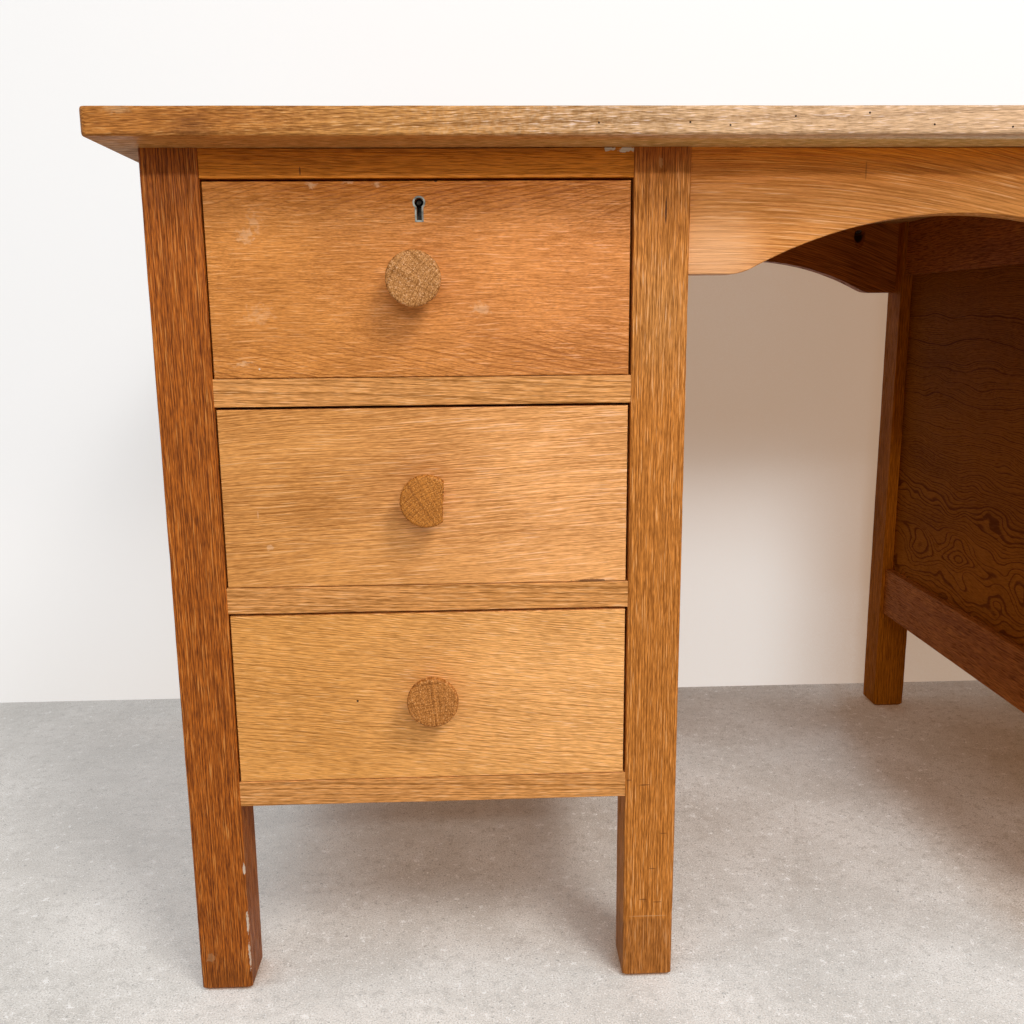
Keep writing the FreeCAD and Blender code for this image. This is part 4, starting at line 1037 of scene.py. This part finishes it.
# Near the floor, the panels are painted lighter, for the light that reaches them under the desk.
PANEL_LIGHT_MARKS = [tints((0, 0, 180), (900, 600, 320), (1.35, 1.35, 1.2), soft=0.9)]
TOP_RAIL_CUT = {**RIFT_RAIL, "pith": (-70, -80)}
BACK_VENEER = {**PEELED_VENEER, "along": "x", "across": "z"}
FLOOR_VENEER = {**PEELED_VENEER, "along": "x", "across": "y"}
BOX_PITHS = ((30, -70), (30, -85), (30, -100))
FRAME_OAK_SEEDS = {"left": 100, "right": 110}
BOX_OAK_SEEDS = {"left": 130, "right": 140}
for side in SIDES:
    finishes = {
        "top_rail": ("oiled oak", TOP_RAIL_SHADE_TONE, TOP_RAIL_CUT, TOP_RAIL_MARKS if side == "left" else ()),
        "side_rails": ("oiled oak", SHADED_TONE, SIDE_RAIL, ()),
        "side_panels": ("peeled oak veneer", VENEER_SHADE_TONE, PEELED_VENEER, PANEL_LIGHT_MARKS),
        "back_rails": ("oiled oak", SHADED_TONE, RIFT_RAIL, ()),
        "back_panel": ("peeled oak veneer", VENEER_SHADE_TONE, BACK_VENEER, ()),
        "drawer_runners": ("planed oak", LINING_TONE, SIDE_RAIL, ()),
        "drawer_guides": ("planed oak", LINING_TONE, SIDE_RAIL, ()),
    }
    for number, (piece, (wood, tone, cut, marks)) in enumerate(finishes.items()):
        node = side + "_" + piece
        seed = FRAME_OAK_SEEDS[side] + number
        dress(node, oak(wood + ", " + node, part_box(node), tone, cut, seed, marks))
    for number, level in enumerate(LEVELS):
        box_cut = {**SIDE_RAIL, "pith": BOX_PITHS[number]}
        box_node = side + "_" + level + "_drawer_box"
        floor_node = side + "_" + level + "_drawer_bottom"
        seed = BOX_OAK_SEEDS[side] + number
        box_oak = oak("planed oak, " + box_node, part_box(box_node), LINING_TONE, box_cut, seed)
        dress(box_node, box_oak)
        ply = oak("birch ply, " + floor_node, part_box(floor_node), LINING_TONE, FLOOR_VENEER, seed)
        dress(floor_node, ply)
print("dressed the frame, the panels and the drawers' insides")

# %% [markdown]
# ## Metal
# The lock is steel with a file-worn case, the keyhole is lined with a cast rim of pale white metal, and
# the screws are steel with a brown tinge of rust. Old metal isn't evenly bright: a fine mottle in the
# roughness, and spots of tarnish, keep it from looking new.

# %% Make the metals
PATCH_DETAIL = 4.0
TARNISH_BEGINS = 0.42
TARNISH_FULL = 0.68
# Roughness grows by this much between these two levels of the patches.
ROUGHER = 0.25
SMOOTH_PATCH = 0.3
ROUGH_PATCH = 0.7
METAL_BUMP = 0.25
METAL_BUMP_HEIGHT = 0.1 * MM


def old_metal(name, bright, tarnish, roughness, grit):
    """Metal with tarnish in patches about grit millimetres wide."""
    material = start_material(name)
    tree = material.node_tree
    place = put(tree, "TexCoord", output="Object")
    patches = put(tree, "TexNoise", {"Vector": place, "Scale": 1 / (grit * MM), "Detail": PATCH_DETAIL})
    share = put(tree, "MapRange", (patches, TARNISH_BEGINS, TARNISH_FULL), **EASED)
    feeds = {SHARE: share, FIRST: to_linear(bright), SECOND: to_linear(tarnish)}
    colour = put(tree, "Mix", feeds, MIXED, **COLOURS)
    limits = (SMOOTH_PATCH, ROUGH_PATCH, roughness, roughness + ROUGHER)
    rough = put(tree, "MapRange", (patches, *limits), **EASED)
    bump = put(tree, "Bump", {"Strength": METAL_BUMP, "Distance": METAL_BUMP_HEIGHT, "Height": patches})
    feeds = {"Base Color": colour, "Metallic": 1.0, "Roughness": rough, "Normal": bump}
    shader = put(tree, "BsdfPrincipled", feeds)
    put(tree, "OutputMaterial", {"Surface": shader})
    return material


# The rim is a pale grey glint round the keyhole, the lock is dark and dull steel painted darker
# for the shade inside the keyhole, and the screws are brown.
rim_metal = old_metal("cast white metal", "#8a8a82", "#5e5d57", 0.42, 6.0)
lock_steel_and_shade = old_metal("filed steel painted dark for shade", "#45423e", "#2a2520", 0.42, 6.0)
screw_steel = old_metal("rusted steel", "#77706a", "#6a452b", 0.5, 1.5)
for side in SIDES:
    dress(side + "_escutcheon", rim_metal)
    dress(side + "_lock_case", lock_steel_and_shade)
    dress(side + "_lock_bolt", lock_steel_and_shade)
    dress(side + "_lock_screws", screw_steel)
dress("top_screws", screw_steel)
print("dressed the locks and the screws")

# %% [markdown]
# ## Floor and backdrop
# The stage is a pale concrete floor and a white backdrop just behind the desk. The backdrop is a thin
# sheet that only the camera sees, and only from its front, so it takes no light from the desk's back.
# A bright room would light both far more than the lamps here do, so each has a faint glow of its own,
# which is seen but lights nothing. Close to the desk, where less of the room is open, the glow takes on
# the brown of the wood.

# %% Helpers for the stage
LIFT_REACH = 0.9
OPEN_SAMPLES = 8
# The glow is fully tinted where this share of the room is open, and white where the second share is.
TINTED_OPENNESS = 0.2
WHITE_OPENNESS = 0.55


def sheet(name, corner, first, second):
    """A flat sheet: corner plus shares of two edges, each from 0 to 1."""
    u, v = np.meshgrid(np.linspace(0, 1, 3), np.linspace(0, 1, 3))
    points = np.array(corner) + u[..., None] * np.array(first) + v[..., None] * np.array(second)
    start = np.add.outer(np.arange(2) * 3, np.arange(2)).ravel()
    faces = np.stack([start, start + 1, start + 4, start + 3], -1)
    mesh = bpy.data.meshes.new(name)
    mesh.from_pydata(points.reshape(-1, 3).tolist(), [], faces.tolist())
    made = bpy.data.objects.new(name, mesh)
    bpy.context.scene.collection.objects.link(made)
    return made


def background_rays(tree):
    """1 for rays from the camera, or by way of polished metal or glass, and 0 for those that give light."""
    rays = put(tree, "LightPath").node.outputs
    shown = put(tree, "Math", (rays["Is Camera Ray"], rays["Is Glossy Ray"]), operation="MAXIMUM")
    return put(tree, "Math", (shown, rays["Is Transmission Ray"]), operation="MAXIMUM")


def lifted(tree, colour, strength, openness, near):
    """A matt surface that is seen lighter than it is, with a tint of its own close to the desk."""
    matt = put(tree, "BsdfDiffuse", {"Color": colour})
    far = put(tree, "MapRange", (openness, TINTED_OPENNESS, WHITE_OPENNESS), **EASED)
    feeds = {SHARE: far, FIRST: near, SECOND: to_linear("#ffffff")}
    glow = put(tree, "Mix", feeds, MIXED, **COLOURS)
    shown = put(tree, "Math", (background_rays(tree), strength), operation="MULTIPLY")
    light = put(tree, "Emission", {"Color": glow, "Strength": shown})
    return put(tree, "AddShader", (matt, light))


print("the glow is tinted within", LIFT_REACH, "m of the desk")

# %% The colour of the floor
# Clouds of grey come six to the metre, so this is their size in millimetres.
CLOUD_SIZE = 1000 / 6
CLOUD_DETAIL = 8.0
CLOUD_ROUGHNESS = 0.7
CLOUD_DARK = 0.3
CLOUD_PALE = 0.7
# Grit, sand and dust: the size of their grains in millimetres, then detail and roughness of the noise.
# Real dust is far finer than 1.6 mm, and it is drawn coarser, or it wouldn't show.
GRAINS = {"grit": (12, 5.0, 0.7), "sand": (4, 1.0, 0.5), "dust": (1.6, 2.0, 0.7)}
# Each kind has dark and pale specks: where in the noise they begin and are full, how much shows, colour.
SPECKS = (("grit", 0.48, 0.36, 0.6, "#a29b90"), ("grit", 0.58, 0.66, 0.9, "#f4f1ec"),
          ("sand", 0.33, 0.26, 0.8, "#6d665c"), ("sand", 0.69, 0.76, 0.9, "#f4f1ec"),
          ("dust", 0.52, 0.34, 0.7, "#8d867b"), ("dust", 0.55, 0.70, 0.6, "#ffffff"))


def concrete_colour(tree, place):
    """Soft clouds of grey, with dark and pale specks of three sizes laid over them."""
    feeds = {"Vector": place, "Scale": 1 / (CLOUD_SIZE * MM), "Detail": CLOUD_DETAIL,
             "Roughness": CLOUD_ROUGHNESS}
    clouds = put(tree, "TexNoise", feeds)
    share = put(tree, "MapRange", (clouds, CLOUD_DARK, CLOUD_PALE), **EASED)
    feeds = {SHARE: share, FIRST: to_linear("#b9b2a7"), SECOND: to_linear("#dfdad2")}
    colour = put(tree, "Mix", feeds, MIXED, **COLOURS)
    noises = {}
    for grain, (size, detail, roughness) in GRAINS.items():
        feeds = {"Vector": place, "Scale": 1 / (size * MM), "Detail": detail, "Roughness": roughness}
        noises[grain] = put(tree, "TexNoise", feeds)
    for grain, begins, full, shown, tint in SPECKS:
        share = put(tree, "MapRange", (noises[grain], begins, full, 0.0, shown), **EASED)
        feeds = {SHARE: share, FIRST: colour, SECOND: to_linear(tint)}
        colour = put(tree, "Mix", feeds, MIXED, **COLOURS)
    return colour


print(len(SPECKS), "kinds of specks on the floor")

# %% Make the floor
FLOOR_HALF = 6.0
FLOOR_LIFT = 0.28
# The far pedestal begins to hide the light, and hides the most of it, at these places in metres: across
# the floor, and back towards the wall, where only a share is hidden.
BESIDE = (0.08, 0.24)
TOWARDS_WALL = (0.10, 0.34)
WALL_SHARE = 0.60
# It does so only close to the desk, where the openness falls from the first share to the second.
CLOSE_TO_DESK = (0.90, 0.50)


def floor_openness(tree, place):
    """How much of the room a point of the floor can see. Beside the far pedestal, light reaches the floor
    by way of the wood, so there it counts for less, and the floor is brown and dim."""
    openness = put(tree, "AmbientOcclusion", {"Distance": LIFT_REACH}, "AO", samples=OPEN_SAMPLES)
    parts = put(tree, "SeparateXYZ", (place,)).node.outputs
    beside = put(tree, "MapRange", (parts["X"], *BESIDE), **EASED)
    behind = put(tree, "MapRange", (parts["Y"], *TOWARDS_WALL, 0.0, WALL_SHARE), **EASED)
    hidden = put(tree, "Math", (beside, behind), operation="MAXIMUM")
    close = put(tree, "MapRange", (openness, *CLOSE_TO_DESK), **EASED)
    hidden = put(tree, "Math", (hidden, close), operation="MULTIPLY")
    left_open = put(tree, "Math", (1.0, hidden), operation="SUBTRACT")
    return put(tree, "Math", (openness, left_open), operation="MULTIPLY")


def make_concrete():
    """Power-floated concrete, which gives the desk a pale, speckled, matt ground."""
    material = start_material("power-floated concrete")
    tree = material.node_tree
    place = put(tree, "TexCoord", output="Object")
    colour = concrete_colour(tree, place)
    look = lifted(tree, colour, FLOOR_LIFT, floor_openness(tree, place), to_linear("#9c693f"))
    put(tree, "OutputMaterial", {"Surface": look})
    return material


floor = sheet("floor", (-FLOOR_HALF, -FLOOR_HALF, 0), (2 * FLOOR_HALF, 0, 0), (0, 2 * FLOOR_HALF, 0))
floor.data.materials.append(make_concrete())
print("made the", floor.name, "of", floor.data.materials[0].name)

# %% Make the backdrop
BACKDROP_Y = 0.40
BACKDROP_HEIGHT = 4.0
BACKDROP_LIFT = 0.58
FOOT_LIFT = 1.1 * BACKDROP_LIFT
# The pale foot of the wall begins and is full at these heights and places across, in metres.
FOOT_HEIGHTS = (0.47, 0.17)
FOOT_PLACES = (0.26, 0.04)


def make_paint():
    """White paint, seen from the front only. Light that passes under the desk keeps the foot of the wall
    pale on the left, and the wood tints it higher up."""
    material = start_material("white paint")
    tree = material.node_tree
    openness = put(tree, "AmbientOcclusion", {"Distance": LIFT_REACH}, "AO", samples=OPEN_SAMPLES)
    parts = put(tree, "SeparateXYZ", (put(tree, "TexCoord", output="Object"),)).node.outputs
    low = put(tree, "MapRange", (parts["Z"], *FOOT_HEIGHTS), **EASED)
    left = put(tree, "MapRange", (parts["X"], *FOOT_PLACES), **EASED)
    foot = put(tree, "Math", (low, left), operation="MULTIPLY")
    feeds = {SHARE: foot, FIRST: to_linear("#cfae91"), SECOND: to_linear("#f8ebe0")}
    tint = put(tree, "Mix", feeds, MIXED, **COLOURS)
    lift = put(tree, "MapRange", (foot, 0.0, 1.0, BACKDROP_LIFT, FOOT_LIFT), **EASED)
    white = lifted(tree, to_linear("#b4b3b2"), lift, openness, tint)
    clear = put(tree, "BsdfTransparent")
    behind = put(tree, "NewGeometry", output="Backfacing")
    look = put(tree, "MixShader", (behind, white, clear))
    put(tree, "OutputMaterial", {"Surface": look})
    return material


backdrop = sheet("backdrop", (-FLOOR_HALF, BACKDROP_Y, 0), (2 * FLOOR_HALF, 0, 0), (0, 0, BACKDROP_HEIGHT))
backdrop.data.materials.append(make_paint())
backdrop.visible_diffuse = False
backdrop.visible_glossy = False
backdrop.visible_transmission = False
backdrop.visible_shadow = False
print("made the", backdrop.name, "of", backdrop.data.materials[0].name)

# %% [markdown]
# ## Light
# A long low lamp draws the narrow shadow under the top, and a broad one, high on the right, models the
# knobs. The world fills the rest evenly, and is brighter to the camera than it is to the desk.

# %% Light it
LAMP_TARGET = Vector((-0.30, -0.33, 0.45))
# Each lamp has its turn to the right and height in degrees, distance, width, height and power.
LAMPS = {
    "low_strip": (4, 27, 3.2, 2.4, 0.14, 33),
    "high_right": (34, 47, 3.0, 0.8, 0.8, 50),
}
for lamp_name, (turn, rise, distance, width, height, power) in LAMPS.items():
    turn, rise = math.radians(turn), math.radians(rise)
    away = Vector((math.sin(turn) * math.cos(rise), -math.cos(turn) * math.cos(rise), math.sin(rise)))
    lamp = bpy.data.objects.new(lamp_name, bpy.data.lights.new(lamp_name, "AREA"))
    lamp.data.shape = "RECTANGLE"
    lamp.data.size = width
    lamp.data.size_y = height
    lamp.data.energy = power
    lamp.location = LAMP_TARGET + away * distance
    lamp.rotation_mode = "QUATERNION"
    lamp.rotation_quaternion = away.to_track_quat("Z", "Y")
    bpy.context.scene.collection.objects.link(lamp)
    print(lamp_name, "at", [round(value, 2) for value in lamp.location])

# %% Fill the room with light
FILL_STRENGTH = 0.36
SEEN_STRENGTH = 1.0
world = bpy.data.worlds.new("studio")
world.use_nodes = True
room = world.node_tree
room.nodes.clear()
fill = put(room, "Background", {"Color": to_linear("#fdfbf8"), "Strength": FILL_STRENGTH})
seen = put(room, "Background", {"Color": to_linear("#f6f5f3"), "Strength": SEEN_STRENGTH})
sky = put(room, "MixShader", (background_rays(room), fill, seen))
put(room, "OutputWorld", {"Surface": sky})
scene = bpy.context.scene
scene.world = world
scene.view_settings.view_transform = "Standard"
print("the world fills at", FILL_STRENGTH, "and is seen at", SEEN_STRENGTH)

# %% [markdown]
# ## Camera
# The viewpoint was found from the desk itself: the lines of its rails, legs and top meet where only
# one lens and one place can see them meet. It is a little below the top, left of the kneehole, close.

# %% Place the camera
LENS = 34.466
SENSOR = 36.0
CLIP_START = 10 * MM
EYE = Vector((-0.40171, -1.14554, 0.60641))
# In radians: to the right, downwards, and about the line of sight.
YAW = 0.03772
PITCH = 0.19307
ROLL = -0.00882
ahead = Vector((math.sin(YAW) * math.cos(PITCH), math.cos(YAW) * math.cos(PITCH), -math.sin(PITCH)))
level_right = Vector((math.cos(YAW), -math.sin(YAW), 0))
level_up = level_right.cross(ahead)
right = math.cos(ROLL) * level_right + math.sin(ROLL) * level_up
up = math.cos(ROLL) * level_up - math.sin(ROLL) * level_right
camera = bpy.data.objects.new("camera", bpy.data.cameras.new("camera"))
camera.data.lens = LENS
camera.data.sensor_width = SENSOR
camera.data.clip_start = CLIP_START
turned = Matrix((right, up, -ahead)).transposed().to_4x4()
camera.matrix_world = Matrix.Translation(EYE) @ turned
scene.collection.objects.link(camera)
scene.camera = camera
print("camera at", [round(value, 3) for value in EYE], "with a lens of", LENS, "mm")
